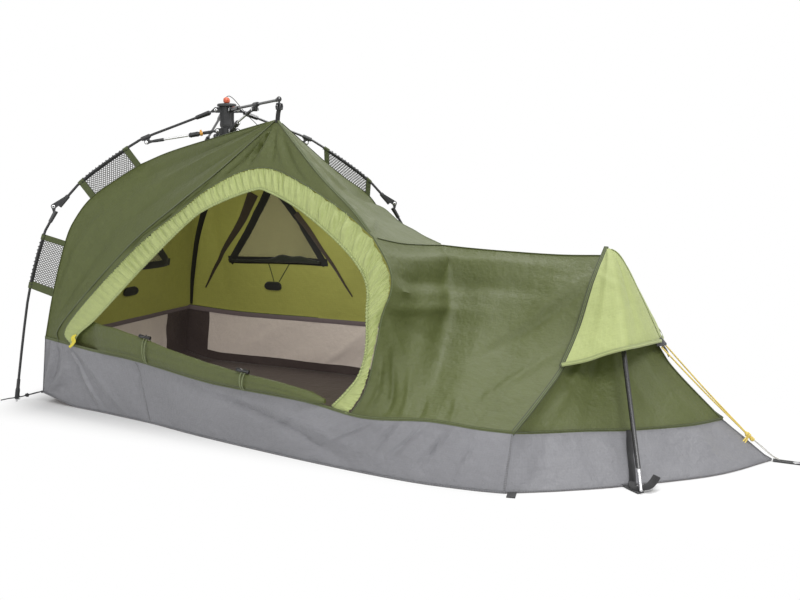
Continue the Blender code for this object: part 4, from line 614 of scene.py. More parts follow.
# Seams and edges of the tent, in its own lines
lines = {
    "peak": (0.874, -0.244, 0.942),
    "headNear": (0.285, -0.166, 0.807),
    "headFar": (0.29, 0.175, 0.807),
    "backTop": (0.794, 0.188, 0.815),
    "doorCorner": (1.26, -0.38, 0.612),
    "footPeak": (1.815, 0.0, 0.549),
    "headHip": ((0.29, 0.807), (0.37, 0.757), (0.454, 0.697), (0.508, 0.63), (0.545, 0.554), (0.593, 0.385),
        (0.628, 0.222)),
    "backHip": ((0.33, 0.815), (0.401, 0.757), (0.49, 0.69), (0.541, 0.6), (0.567, 0.5), (0.602, 0.35),
        (0.632, 0.212)),
    "tubNear": ((0.0148, -0.3692, 0.222), (0.227, -0.385, 0.201), (0.45, -0.415, 0.191),
        (0.769, -0.472, 0.167), (1.111, -0.525, 0.165), (1.305, -0.541, 0.145), (1.491, -0.54, 0.158),
        (1.62, -0.522, 0.148), (1.702, -0.492, 0.139)),
    "tubFar": ((0.03, 0.388, 0.222), (0.28, 0.4, 0.207), (0.64, 0.398, 0.208), (1.0419, 0.3609, 0.212),
        (1.3, 0.375, 0.18), (1.5, 0.395, 0.152), (1.675, 0.405, 0.14)),
    "floorNear": ((0.0, -0.38, 0.034), (0.155, -0.385, 0.0), (0.306, -0.4, 0.0), (0.513, -0.43, 0.0),
        (0.733, -0.476, 0.0), (1.107, -0.535, 0.0), (1.42, -0.566, 0.0), (1.6, -0.56, 0.0),
        (1.7, -0.545, 0.0)),
    "floorFar": ((-0.004, 0.402, 0.034), (0.155, 0.41, 0.0), (0.52, 0.412, 0.0), (0.88, 0.402, 0.0),
        (1.06, 0.378, 0.0), (1.33, 0.412, 0.0), (1.68, 0.46, 0.0)),
    "floorToe": ((1.7, -0.545, 0.0), (1.83, -0.467, 0.0), (1.97, -0.365, 0.0), (2.168, -0.19, 0.0),
        (2.297, 0.0, 0.0)),
    "floorToeFar": ((1.68, 0.46, 0.0), (1.83, 0.42, 0.0), (1.975, 0.35, 0.0), (2.168, 0.19, 0.0),
        (2.297, 0.0, 0.0)),
    "tubToe": ((1.702, -0.492, 0.139), (1.741, -0.41, 0.121), (1.856, -0.316, 0.115), (1.948, -0.241, 0.108),
        (2.088, -0.121, 0.105), (2.165, 0.0, 0.1)),
    "tubToeFar": ((1.675, 0.405, 0.14), (1.741, 0.372, 0.122), (1.856, 0.3, 0.115), (1.948, 0.235, 0.108),
        (2.088, 0.121, 0.105), (2.165, 0.0, 0.1)),
    "doorSeam": ((0.078, -0.374, 0.216), (0.096, -0.368, 0.285), (0.344, -0.319, 0.542),
        (0.534, -0.294, 0.685), (0.68, -0.276, 0.788), (0.874, -0.244, 0.942)),
    "doorArch": ((0.137, -0.379, 0.2095), (0.124, -0.372, 0.281), (0.365, -0.322, 0.53),
        (0.551, -0.297, 0.668), (0.634, -0.288, 0.725), (0.744, -0.282, 0.778), (0.836, -0.285, 0.797),
        (0.916, -0.295, 0.786), (1.047, -0.324, 0.733), (1.177, -0.356, 0.666), (1.26, -0.38, 0.612)),
    "doorSide": ((1.26, -0.38, 0.612), (1.322, -0.409, 0.535), (1.337, -0.428, 0.476), (1.319, -0.449, 0.404),
        (1.314, -0.469, 0.336), (1.298, -0.504, 0.215), (1.267, -0.5395, 0.1465)),
    "bandInner": ((0.148, -0.382, 0.211), (0.18, -0.384, 0.256), (0.256, -0.376, 0.316),
        (0.424, -0.342, 0.483), (0.581, -0.313, 0.626), (0.671, -0.305, 0.681), (0.821, -0.303, 0.732),
        (0.886, -0.311, 0.727), (1.018, -0.339, 0.672), (1.174, -0.383, 0.576), (1.255, -0.415, 0.494),
        (1.272, -0.444, 0.405), (1.283, -0.472, 0.315), (1.271, -0.491, 0.248), (1.243, -0.508, 0.204),
        (1.205, -0.529, 0.16)),
    "doorToPeak": ((0.874, -0.244, 0.942), (1.047, -0.3, 0.782), (1.18, -0.347, 0.684), (1.26, -0.38, 0.612)),
    "doorToRidge": ((1.26, -0.38, 0.612), (1.283, -0.25, 0.585), (1.3, -0.12, 0.57), (1.316, 0.0, 0.559)),
    "backToRidge": ((0.9253, 0.2798, 0.69), (1.012, 0.22, 0.653), (1.1, 0.15, 0.615), (1.176, 0.09, 0.596),
        (1.231, 0.05, 0.58), (1.316, 0.0, 0.559)),
    "ridge": ((1.316, 0.0, 0.559), (1.412, 0.0, 0.553), (1.537, 0.0, 0.548), (1.687, 0.0, 0.545),
        (1.815, 0.0, 0.549)),
    "nearSeam": ((1.815, 0.0, 0.549), (1.804, -0.089, 0.459), (1.786, -0.162, 0.34), (1.764, -0.247, 0.263),
        (1.73, -0.384, 0.19), (1.702, -0.492, 0.139)),
    "farSeam": ((1.815, 0.0, 0.549), (1.802, 0.085, 0.459), (1.782, 0.155, 0.34), (1.76, 0.232, 0.263),
        (1.715, 0.336, 0.19), (1.675, 0.405, 0.14)),
    "toeSpine": ((1.815, 0.0, 0.549), (1.9, 0.0, 0.43), (1.985, 0.0, 0.29), (2.035, 0.0, 0.225),
        (2.165, 0.0, 0.1)),
    "hoodSpine": ((1.822, 0.0, 0.574), (1.866, 0.0, 0.545), (1.932, 0.0, 0.426), (1.99, 0.0, 0.308)),
    "hoodEdge": ((1.822, 0.0, 0.574), (1.803, -0.094, 0.478), (1.784, -0.172, 0.356), (1.764, -0.255, 0.27)),
    "hoodHem": ((1.764, -0.255, 0.27), (1.824, -0.24, 0.285), (1.88, -0.228, 0.308), (1.926, -0.213, 0.322),
        (1.946, -0.164, 0.32), (1.966, -0.106, 0.318), (1.984, -0.041, 0.314), (1.99, 0.0, 0.308)),
    "backWindow": ((0.529, 0.243, 0.737), (0.253, 0.355, 0.419), (0.72, 0.345, 0.431)),
    "backHood": ((0.527, 0.234, 0.765), (0.141, 0.374, 0.315), (0.815, 0.357, 0.32)),
    "headWindow": ((0.11, 0.01, 0.61), (0.058, 0.245, 0.418), (0.05, -0.225, 0.418)),
    "headHood": ((0.125, 0.01, 0.665), (0.036, 0.338, 0.325), (0.03, -0.318, 0.325)),
    "legPole": ((0.052, 0.981), (0.165, 0.937), (0.277, 0.893), (0.33, 0.862), (0.41, 0.808), (0.49, 0.745),
        (0.566, 0.66)),
    "legShin": ((0.566, 0.66), (0.614, 0.575), (0.669, 0.398), (0.709, 0.18), (0.735, 0.012)),
}


def hip(arm, profile, count, swing):
    top, low = profile[0][1], profile[-1][1]
    return smoothLine([onArm(arm, r, z, swing * (top - z) / (top - low)) for r, z in profile], count)


cuts = {"hip": 12, "roof": 7, "head": 6, "side": 6, "saddle": 10, "ridge": 7, "panel": 8, "toe": 6,
        "strip": 3, "fine": 6}


def tentCurves():
    # every seam once, so that the panels on its two sides share its points
    n = {name: count * cuts["fine"] for name, count in cuts.items()}
    split = n["hip"] - n["panel"]
    k = lines
    c = {}
    hips = {"nearHip": ("leg_1", "headHip", 0.013, "headNear", k["tubNear"][0]),
            "farHip": ("leg_3", "headHip", 0.0, "headFar", k["tubFar"][0]),
            "backHip": ("leg_2", "backHip", 0.0, "backTop", k["tubFar"][3])}
    for name, (leg, line, swing, top, low) in hips.items():
        c[name] = hip(leg, k[line], n["hip"], swing)
        c[name][0], c[name][-1] = k[top], low
    c["headTop"] = smoothLine([k["headNear"], k["headFar"]], n["head"])
    c["nearTop"] = smoothLine([k["headNear"], (0.447, -0.17, 0.857), k["peak"]], n["roof"])
    c["farTop"] = smoothLine([k["headFar"], k["backTop"]], n["roof"])
    c["peakBack"] = smoothLine([k["peak"], k["backTop"]], n["side"])
    c["backRidge"] = smoothLine([c["backHip"][split], *k["backToRidge"][1:]], n["saddle"] - split)
    long = n["hip"] + n["roof"]
    whole = {"doorRidge": ("doorToRidge", n["side"]), "peakDoor": ("doorToPeak", n["saddle"]),
             "doorSeam": ("doorSeam", long), "arch": ("doorArch", long + n["saddle"]),
             "doorSide": ("doorSide", n["panel"]), "ridge": ("ridge", n["ridge"]),
             "nearSeam": ("nearSeam", n["panel"]), "farSeam": ("farSeam", n["panel"]),
             "spine": ("toeSpine", n["panel"]), "toeNear": ("tubToe", n["toe"]),
             "toeFar": ("tubToeFar", n["toe"]), "floorToe": ("floorToe", n["toe"]),
             "floorToeFar": ("floorToeFar", n["toe"])}
    for name, (line, count) in whole.items():
        c[name] = smoothLine(k[line], count)
    c["headTub"] = smoothLine([k["tubNear"][0], (0.004, 0.0, 0.214), k["tubFar"][0]], n["head"])
    near, far = k["tubNear"], k["tubFar"]
    c["tubA"] = betweenX(near, near[0][0], k["doorSeam"][0][0], n["strip"])
    c["tubB"] = betweenX(near, k["doorSeam"][0][0], k["doorArch"][0][0], n["strip"])
    c["tubSill"] = betweenX(near, k["doorArch"][0][0], k["doorSide"][-1][0], 12 * cuts["fine"])
    c["tubC"] = betweenX(near, k["doorSide"][-1][0], near[-1][0], n["side"] + n["ridge"])
    c["doorSeam"][0], c["arch"][0], c["doorSide"][-1] = c["tubA"][-1], c["tubB"][-1], c["tubC"][0]
    c["tubE"] = betweenX(far, far[0][0], far[3][0], n["roof"])
    c["tubF"] = betweenX(far, far[3][0], far[-1][0], n["saddle"] - split + n["ridge"])
    c["tubE"][-1] = c["tubF"][0] = c["backHip"][-1]
    c["backHipTop"], c["backHipLow"] = c["backHip"][:split + 1], c["backHip"][split:]
    c["tubNear"] = joined(c["tubA"], c["tubB"], c["tubSill"], c["tubC"])
    c["tubFar"] = joined(c["tubE"], c["tubF"])
    c["floorHead"] = smoothLine([k["floorNear"][0], (-0.004, -0.25, 0.0), (-0.004, 0.25, 0.0),
                                 k["floorFar"][0]], n["head"])
    c["floorNear"] = smoothLine(k["floorNear"], len(c["tubNear"]) - 1)
    c["floorFar"] = smoothLine(k["floorFar"], len(c["tubFar"]) - 1)
    for name in ("floorHead", "floorNear", "floorFar"):
        c[name][:, 2] = np.maximum(c[name][:, 2], 0.0)
    return c


def patch(low, high, left, right):
    # a grid of points between four edges
    u = np.linspace(0, 1, len(low))[None, :, None]
    v = np.linspace(0, 1, len(left))[:, None, None]
    grid = low[None] * (1 - v) + high[None] * v + left[:, None] * (1 - u) + right[:, None] * u
    grid -= low[0] * (1 - u) * (1 - v) + low[-1] * u * (1 - v) + high[0] * (1 - u) * v + high[-1] * u * v
    grid[0], grid[-1], grid[:, 0], grid[:, -1] = low, high, left, right
    return grid


def coreOf(points):
    # the middle of the tent that is nearest to each point
    core = np.zeros_like(points)
    core[..., 0] = np.clip(points[..., 0], 0.35, 1.8)
    core[..., 2] = 0.22
    return core


def outward(grid):
    # unit normals that look out of the tent, and whether the grid's own order looks that way
    normal = np.cross(np.gradient(grid, axis=1), np.gradient(grid, axis=0))
    normal /= np.maximum(np.linalg.norm(normal, axis=2, keepdims=True), 1e-9)
    sign = 1 if (normal * (grid - coreOf(grid))).sum() > 0 else -1
    return normal * sign, sign > 0


def sizeOf(grid):
    wide = np.linalg.norm(np.diff(grid, axis=1), axis=2).sum(1)
    tall = np.linalg.norm(np.diff(grid, axis=0), axis=2).sum(0)
    return float(wide.mean()), float(tall.mean())


def formed(grid, sag=0.0, folds=(), ripple=0.0012, seed=0.0, hold=0.035, wave=None):
    # cloth between its seams: a sag, folds as lines in shares of the panel, and uneven ripples
    wide, tall = sizeOf(grid)
    rows, columns = grid.shape[:2]
    u = np.linspace(0, 1, columns)[None, :]
    v = np.linspace(0, 1, rows)[:, None]
    x, y = u * wide + 0 * v, v * tall + 0 * u
    rise = -sag * np.sin(pi * u) * np.sin(pi * v)
    if wave:
        rise = rise + wave(u, v)
    for startU, startV, endU, endV, width, height in folds:
        ax, ay = startU * wide, startV * tall
        dx, dy = endU * wide - ax, endV * tall - ay
        along = np.clip(((x - ax) * dx + (y - ay) * dy) / (dx * dx + dy * dy), 0, 1)
        away = np.hypot(x - ax - along * dx, y - ay - along * dy)
        faded = np.sin(pi * np.clip(along, 0.03, 0.97)) ** 0.5
        rise = rise + height * 1.7 * np.exp(-(away / width) ** 2) * faded
    rough = np.array([noise.noise(Vector(p) * 9.0 + Vector((seed, 0, 0))) * 1.4
                      + noise.noise(Vector((p[0] * 26, p[1] * 26, p[2] * 15 + seed))) * 0.7
                      + noise.noise(Vector(p) * 60.0) * 0.2
                      for p in grid.reshape(-1, 3)]).reshape(rows, columns)
    edge = np.minimum(np.minimum(x, wide - x), np.minimum(y, tall - y))
    rise = rise + rough * ripple * 1.6
    rise = rise * np.clip(edge / hold, 0, 1) ** 0.6
    return grid + outward(grid)[0] * rise[..., None]


def weld(work):
    bmesh.ops.remove_doubles(work, verts=work.verts, dist=2e-5)
    bmesh.ops.dissolve_degenerate(work, dist=1e-5, edges=work.edges)


def plainMesh(name, grids):
    # one surface from grids that share edges, with a slot for each of its faces
    verts, faces, spots = [], [], []
    for grid in grids:
        rows, columns = grid.shape[:2]
        wide, tall = sizeOf(grid)
        base = len(verts)
        ahead = outward(grid)[1]
        verts += [tuple(p) for p in grid.reshape(-1, 3)]
        spots += [(j / (columns - 1) * wide, i / (rows - 1) * tall) for i in range(rows)
                  for j in range(columns)]
        for i in range(rows - 1):
            for j in range(columns - 1):
                a = base + i * columns + j
                face = (a, a + 1, a + columns + 1, a + columns)
                faces.append(face if ahead else face[::-1])
    mesh = reworked(threaded(name, verts, faces, spots), weld)
    for side in range(2):
        mesh.materials.append(None)
    return mesh


def evaluated(name, mesh, *steps):
    # the mesh after modifiers, each given as its type and settings
    thing = linked(name, mesh)
    for kind, settings in steps:
        step = thing.modifiers.new(kind, kind)
        for key, value in settings.items():
            setattr(step, key, value)
    out = bpy.data.meshes.new_from_object(thing.evaluated_get(bpy.context.evaluated_depsgraph_get()))
    bpy.data.objects.remove(thing)
    out.name = name
    return out


def cutBy(name, mesh, cutter, operation="DIFFERENCE"):
    helper = linked("helper", cutter)
    solid = evaluated(name, mesh, ("BOOLEAN", {"operation": operation, "object": helper, "solver": "EXACT"}))
    bpy.data.objects.remove(helper)
    return solid


def areaOf(mesh):
    return sum(face.area for face in mesh.polygons)


clothThickness = 0.0008
paneThickness = 0.0006
windowLoss = 0.88
windowHem = 0.004


def clothMesh(name, grids, thick=clothThickness):
    # closed cloth, with a second material on its inner face
    flat = plainMesh(name, grids)
    solid = evaluated(name, flat, ("SOLIDIFY", {"thickness": thick, "offset": -1.0, "material_offset": 1,
                                                "material_offset_rim": 1}))
    solid.shade_smooth()
    solid.set_sharp_from_angle(angle=radians(55))
    return solid, areaOf(flat)


def clothPiece(name, grids, look, node, cutter=None):
    solid, area = clothMesh(name, grids)
    if cutter is not None:
        solid = cutBy(name, solid, cutter)
        area *= windowLoss
    thing = addPiece(name, solid, look, "tent_body", [node], fold=True)


curve = tentCurves()
grids = {}


# Canopy panels: sag and folds as lines from one share of the panel to another, width and height
panels = {
    "headWall": {"sag": 0.012, "seed": 1.0, "folds": (
        (0.1, 0.1, 0.22, 0.85, 0.016, 0.005), (0.88, 0.1, 0.8, 0.9, 0.016, 0.005),
        (0.5, 0.02, 0.42, 0.25, 0.014, -0.004))},
    "farWall": {"sag": 0.014, "seed": 2.0, "folds": (
        (0.06, 0.15, 0.18, 0.9, 0.018, 0.006), (0.94, 0.1, 0.84, 0.85, 0.018, 0.006),
        (0.1, 0.95, 0.3, 0.7, 0.012, -0.003))},
    "crownStrip": {"sag": 0.008, "seed": 3.0, "folds": (
        (0.78, 0.97, 0.6, 0.3, 0.008, -0.005), (0.55, 0.97, 0.42, 0.4, 0.009, 0.005),
        (0.3, 0.97, 0.22, 0.52, 0.01, -0.0045), (0.9, 0.92, 0.86, 0.45, 0.006, 0.0035),
        (0.35, 0.5, 0.25, 0.15, 0.014, 0.005), (0.7, 0.4, 0.55, 0.08, 0.012, -0.004))},
    "crownTop": {"sag": 0.02, "seed": 4.0, "folds": (
        (0.02, 0.98, 0.35, 0.35, 0.014, 0.006), (0.02, 0.98, 0.16, 0.25, 0.012, -0.005),
        (0.05, 0.98, 0.65, 0.55, 0.014, -0.006))},
    "crownSaddle": {"sag": 0.016, "seed": 5.0, "folds": (
        (0.03, 0.03, 0.2, 0.8, 0.012, 0.006), (0.05, 0.05, 0.45, 0.75, 0.014, -0.006),
        (0.1, 0.05, 0.75, 0.6, 0.016, 0.006), (0.02, 0.95, 0.5, 0.7, 0.012, 0.005),
        (0.03, 0.9, 0.35, 0.45, 0.01, -0.005))},
    "doorSurround": {"sag": 0.0, "seed": 6.0, "hold": 0.02, "folds": (
        (0.02, 0.655, 0.97, 0.635, 0.006, -0.0075), (0.02, 0.655, 0.97, 0.61, 0.005, 0.0045),
        (0.02, 0.655, 0.97, 0.665, 0.005, 0.004), (0.02, 0.66, 0.97, 0.7, 0.006, -0.005),
        (0.02, 0.65, 0.95, 0.56, 0.006, -0.0045), (0.05, 0.665, 0.95, 0.745, 0.006, 0.004),
        (0.1, 0.675, 0.9, 0.8, 0.006, -0.004), (0.3, 0.55, 0.7, 0.4, 0.006, 0.003),
        (0.7, 0.45, 0.3, 0.25, 0.007, -0.003))},
    "frontPanel": {"sag": 0.014, "seed": 7.0, "folds": (
        (0.01, 0.24, 0.8, 0.2, 0.03, -0.013), (0.06, 0.12, 0.85, 0.07, 0.022, 0.009),
        (0.0, 0.4, 0.62, 0.36, 0.018, 0.007), (0.0, 0.42, 0.45, 0.56, 0.013, -0.006),
        (0.0, 0.43, 0.32, 0.76, 0.012, 0.005), (0.02, 0.3, 0.2, 0.33, 0.007, 0.005),
        (0.05, 0.66, 0.1, 0.95, 0.011, 0.006), (0.12, 0.62, 0.22, 0.96, 0.012, -0.0065),
        (0.26, 0.74, 0.34, 0.97, 0.011, 0.005), (0.42, 0.86, 0.46, 0.99, 0.009, -0.0045),
        (0.6, 0.84, 0.66, 0.99, 0.009, 0.0045), (0.99, 0.1, 0.74, 0.4, 0.014, 0.005),
        (0.98, 0.2, 0.6, 0.62, 0.013, -0.005), (0.97, 0.45, 0.72, 0.85, 0.012, 0.004))},
    "farRoof": {"sag": 0.02, "seed": 8.0, "folds": (
        (0.02, 0.3, 0.75, 0.22, 0.025, -0.009), (0.02, 0.45, 0.5, 0.6, 0.014, 0.006),
        (0.97, 0.15, 0.7, 0.5, 0.013, -0.005), (0.2, 0.75, 0.28, 0.97, 0.012, 0.005))},
    "footEndNear": {"sag": 0.006, "seed": 9.0, "folds": (
        (0.22, 0.45, 0.16, 0.97, 0.012, 0.0055), (0.36, 0.4, 0.34, 0.96, 0.01, -0.006),
        (0.5, 0.42, 0.5, 0.97, 0.009, 0.005), (0.62, 0.5, 0.68, 0.97, 0.01, -0.005),
        (0.78, 0.55, 0.86, 0.96, 0.01, 0.0045))},
    "footEndFar": {"sag": 0.006, "seed": 10.0, "folds": (
        (0.25, 0.42, 0.18, 0.97, 0.012, 0.005), (0.42, 0.4, 0.4, 0.96, 0.01, -0.005),
        (0.64, 0.5, 0.7, 0.97, 0.01, 0.0045))},
}


def makeGrids():
    c = curve
    fan = lambda point, count: np.repeat(np.array([point], float), count * cuts["fine"] + 1, axis=0)
    bend = lambda u, v: 0.004 * np.sin(5 * pi * u) * v * (1 - v) * 4
    sway = lambda u, v: (0.006 * np.sin(7 * pi * u + 1.5 * v) * np.sin(pi * v) * np.sin(pi * u)
                         + 0.0016 * np.sin(76 * u + 3 * np.sin(9 * u)) * np.exp((v - 1) / 0.07))
    gather = lambda u, v: 0.0032 * np.sin(pi * u) * np.sin(19 * pi * v) * np.sin(pi * v)
    saddleFar = joined(c["backHipTop"], c["backRidge"])
    plans = {
        "headWall": (c["headTop"], c["headTub"], c["nearHip"], c["farHip"], bend),
        "farWall": (c["farTop"], c["tubE"], c["farHip"], c["backHip"], bend),
        "crownStrip": (c["tubA"], fan(lines["peak"], 3), joined(c["nearHip"][::-1], c["nearTop"]),
                       c["doorSeam"], None),
        "crownTop": (c["headTop"], c["peakBack"], c["nearTop"], c["farTop"], None),
        "crownSaddle": (c["peakBack"], c["doorRidge"], c["peakDoor"], saddleFar, None),
        "doorSurround": (c["tubB"], fan(lines["doorCorner"], 3), joined(c["doorSeam"], c["peakDoor"]),
                         c["arch"], gather),
        "frontPanel": (joined(c["doorRidge"], c["ridge"]), c["tubC"], c["doorSide"], c["nearSeam"], sway),
        "farRoof": (joined(c["backRidge"], c["ridge"]), c["tubF"], c["backHipLow"], c["farSeam"], sway),
        "footEndNear": (fan(lines["footPeak"], 6), c["toeNear"], c["nearSeam"], c["spine"], None),
        "footEndFar": (fan(lines["footPeak"], 6), c["toeFar"], c["farSeam"], c["spine"], None),
    }
    for name, (low, high, left, right, wave) in plans.items():
        grids[name] = formed(patch(low, high, left, right), wave=wave, **panels[name])


makeGrids()


def trianglePrism(corners, reach, grow=0.0):
    pts = [Vector(p) for p in corners]
    middle = sum(pts, Vector()) / 3
    pts = [p + (p - middle).normalized() * grow for p in pts]
    normal = (pts[1] - pts[0]).cross(pts[2] - pts[0]).normalized()
    verts = [p + normal * reach for p in pts] + [p - normal * reach for p in pts]
    mesh = bpy.data.meshes.new("prism")
    mesh.from_pydata(verts, [], [(0, 1, 2), (5, 4, 3), (0, 3, 4, 1), (1, 4, 5, 2), (2, 5, 3, 0)])
    return reworked(mesh, turnOut)


def makeCanopy():
    olive = ["olive", "oliveInside"]
    for name, node, parts in (("crownCloth", "crown", ("crownStrip", "crownTop", "crownSaddle")),
                              ("doorSurround", "door_surround", ("doorSurround",)),
                              ("frontPanel", "front_panel", ("frontPanel",)),
                              ("farRoof", "far_roof", ("farRoof",)),
                              ("footEndNear", "foot_end_near", ("footEndNear",)),
                              ("footEndFar", "foot_end_far", ("footEndFar",))):
        clothPiece(name, [grids[p] for p in parts], olive, node)
    for name, node, corners, pane, paneNode in (
            ("headWall", "head_wall", lines["headWindow"], "headPane", "head_window_mesh"),
            ("farWall", "far_wall", lines["backWindow"], "farPane", "far_window_mesh")):
        clothPiece(name, [grids[name]], olive, node, cutter=trianglePrism(corners, 0.05))
        solid = clothMesh(pane, [grids[name]], paneThickness)[0]
        solid = cutBy(pane, solid, trianglePrism(corners, 0.05, windowHem), "INTERSECT")
        thing = addPiece(pane, solid, "windowMesh", "tent_body", [paneNode], fold=True)


makeCanopy()
print("canopy made")


# Tub: grey walls with soft creases, and a brown floor
tub = {
    "tubNear": {"seed": 21.0, "ripple": 0.0022, "folds": (
        (0.36, 0.92, 0.74, 0.12, 0.012, -0.007), (0.4, 0.98, 0.8, 0.22, 0.01, 0.0045),
        (0.002, 0.03, 0.045, 0.97, 0.011, 0.006), (0.004, 0.02, 0.085, 0.97, 0.011, -0.006),
        (0.006, 0.02, 0.135, 0.93, 0.013, 0.0065), (0.008, 0.02, 0.2, 0.8, 0.014, -0.005),
        (0.17, 0.97, 0.165, 0.1, 0.012, 0.006),
        (0.2, 0.9, 0.23, 0.1, 0.012, 0.004), (0.3, 0.9, 0.27, 0.2, 0.01, -0.0035),
        (0.55, 0.95, 0.52, 0.45, 0.01, 0.004), (0.66, 0.95, 0.64, 0.5, 0.009, 0.0035),
        (0.72, 0.98, 0.76, 0.35, 0.01, -0.0045), (0.8, 0.97, 0.79, 0.3, 0.01, 0.005),
        (0.86, 0.96, 0.85, 0.2, 0.01, -0.005), (0.92, 0.96, 0.93, 0.12, 0.009, 0.0045))},
    "tubFar": {"seed": 22.0, "ripple": 0.0022, "folds": (
        (0.15, 0.9, 0.12, 0.2, 0.014, 0.005), (0.3, 0.9, 0.35, 0.2, 0.012, -0.005),
        (0.55, 0.9, 0.5, 0.2, 0.012, 0.005), (0.8, 0.9, 0.78, 0.2, 0.012, 0.005))},
    "tubHead": {"seed": 23.0, "ripple": 0.002, "folds": (
        (0.2, 0.9, 0.25, 0.2, 0.014, 0.005), (0.6, 0.9, 0.55, 0.1, 0.014, -0.004),
        (0.85, 0.9, 0.8, 0.2, 0.012, 0.004))},
    "tubFootNear": {"seed": 24.0, "ripple": 0.0022, "folds": (
        (0.12, 0.95, 0.06, 0.15, 0.01, 0.005), (0.25, 0.95, 0.22, 0.2, 0.009, -0.0045),
        (0.38, 0.92, 0.4, 0.12, 0.009, 0.0045), (0.66, 0.95, 0.6, 0.2, 0.01, -0.0045),
        (0.8, 0.9, 0.76, 0.25, 0.009, 0.004))},
    "tubFootFar": {"seed": 25.0, "ripple": 0.0022, "folds": (
        (0.2, 0.95, 0.15, 0.15, 0.01, 0.005), (0.45, 0.92, 0.46, 0.12, 0.009, 0.0045),
        (0.75, 0.95, 0.7, 0.2, 0.01, -0.0045))},
}


def makeTub():
    c = curve
    rows = 3 * cuts["fine"]
    side = lambda a, b: smoothLine([a, b], rows)
    crease = lambda u, v: (0.004 * np.sin(11 * pi * u) * np.sin(pi * v)
                           + 0.0022 * np.sin(118 * u + 3 * np.sin(11 * u)) * np.exp((v - 1) / 0.16))
    for name, low, high in (("tubHead", c["floorHead"], c["headTub"]),
                            ("tubNear", c["floorNear"], c["tubNear"]), ("tubFar", c["floorFar"], c["tubFar"]),
                            ("tubFootNear", c["floorToe"], c["toeNear"]),
                            ("tubFootFar", c["floorToeFar"], c["toeFar"])):
        plain = patch(low, high, side(low[0], high[0]), side(low[-1], high[-1]))
        grids[name] = formed(plain, wave=crease, hold=0.02, **tub[name])
    grey = ["tubGrey", "tubInside"]
    for name, node, parts in (("tubHead", "tub_head", ("tubHead",)), ("tubNear", "tub_near", ("tubNear",)),
                              ("tubFar", "tub_far", ("tubFar",)),
                              ("tubFoot", "tub_foot", ("tubFootNear", "tubFootFar"))):
        clothPiece(name, [grids[p] for p in parts], grey, node)

    # the floor follows the walls' lower edges and lies nearly flat between them
    near = joined(c["floorHead"][::-1][len(c["floorHead"]) // 2:], c["floorNear"], c["floorToe"])
    far = joined(c["floorHead"][len(c["floorHead"]) // 2:], c["floorFar"], c["floorToeFar"])
    gone = lambda e: np.concatenate([[0], np.cumsum(np.linalg.norm(np.diff(e, axis=0), axis=1))])
    count, across = 260, 40
    even = lambda e: np.stack([np.interp(np.linspace(0, gone(e)[-1], count), gone(e), e[:, k])
                               for k in range(3)], axis=1)
    a, b = even(near), even(far)
    v = np.linspace(0, 1, across + 1)[None, :, None]
    grid = a[:, None] * (1 - v) + b[:, None] * v
    grid[..., 2] *= (1 - np.sin(pi * v[..., 0])) ** 5
    share = np.linspace(0, 1, count)[:, None] * np.ones((1, across + 1))
    rough = np.array([noise.noise(Vector(p) * 11.0) for p in grid.reshape(-1, 3)]).reshape(count, across + 1)
    ends = np.sin(pi * np.clip(share, 0.004, 0.996)) ** 0.3
    hold = np.sin(pi * v[..., 0] * np.ones((count, 1))) ** 0.5 * ends
    grid[..., 2] += (0.0012 + np.maximum(rough, -0.4) * 0.0025 + 0.001) * hold
    flat = plainMesh("tubFloor", [grid])
    solid = evaluated("tubFloor", flat, ("SOLIDIFY", {"thickness": clothThickness, "offset": 0.0}))
    solid.shade_smooth()
    thing = addPiece("tubFloor", solid, "floorBrown", "tent_body", ["tub_floor"],
                     fold=True)


makeTub()
print("tub made")

# Tapes, bindings and seams lie on the cloth: surfaces are searched for the nearest point
surfaces = {}


def surfaceOf(name):
    if name not in surfaces:
        grid = grids[name]
        rows, columns = grid.shape[:2]
        faces = [(i * columns + j, i * columns + j + 1, (i + 1) * columns + j + 1, (i + 1) * columns + j)
                 for i in range(rows - 1) for j in range(columns - 1)]
        surfaces[name] = BVHTree.FromPolygons([Vector(p) for p in grid.reshape(-1, 3)], faces)
    return surfaces[name]


def cling(name, path, gap):
    # the path laid on a panel, a gap away from it, with the panel's outward normals
    spots, normals = [], []
    for p in path:
        spot, normal = surfaceOf(name).find_nearest(Vector(p))[:2]
        if normal.dot(spot - Vector(coreOf(np.array(spot)))) < 0:
            normal = -normal
        spots.append(spot + normal * gap)
        normals.append(normal)
    return np.array(spots), np.array(normals)


def outAlong(path):
    return np.array(path) - coreOf(np.array(path))


tapeShape = ((-0.5, 0.2), (-0.42, 0.85), (0.0, 1.0), (0.42, 0.85), (0.5, 0.2), (0.5, 0.0), (-0.5, 0.0))


def tape(path, normals, width, thick):
    # a flat tape along a path, standing up from it by its thickness
    path = np.array(path, float)
    normals = np.broadcast_to(np.array(normals, float), path.shape)
    ahead = slopeOf(path)
    rise = unit(normals - ahead * (normals * ahead).sum(1)[:, None])
    side = np.cross(ahead, rise)
    width = np.broadcast_to(np.array(width, float), (len(path),))
    rings = np.stack([path + side * (width * a)[:, None] + rise * thick * b for a, b in tapeShape], axis=1)
    return rings, False, [a * float(width.max()) for a, b in tapeShape]


def seam(name, parts, width=0.008, thick=0.0011, look="oliveSeam"):
    addTubes(name, [tape(path, outAlong(path), width, thick) for path in parts], look)


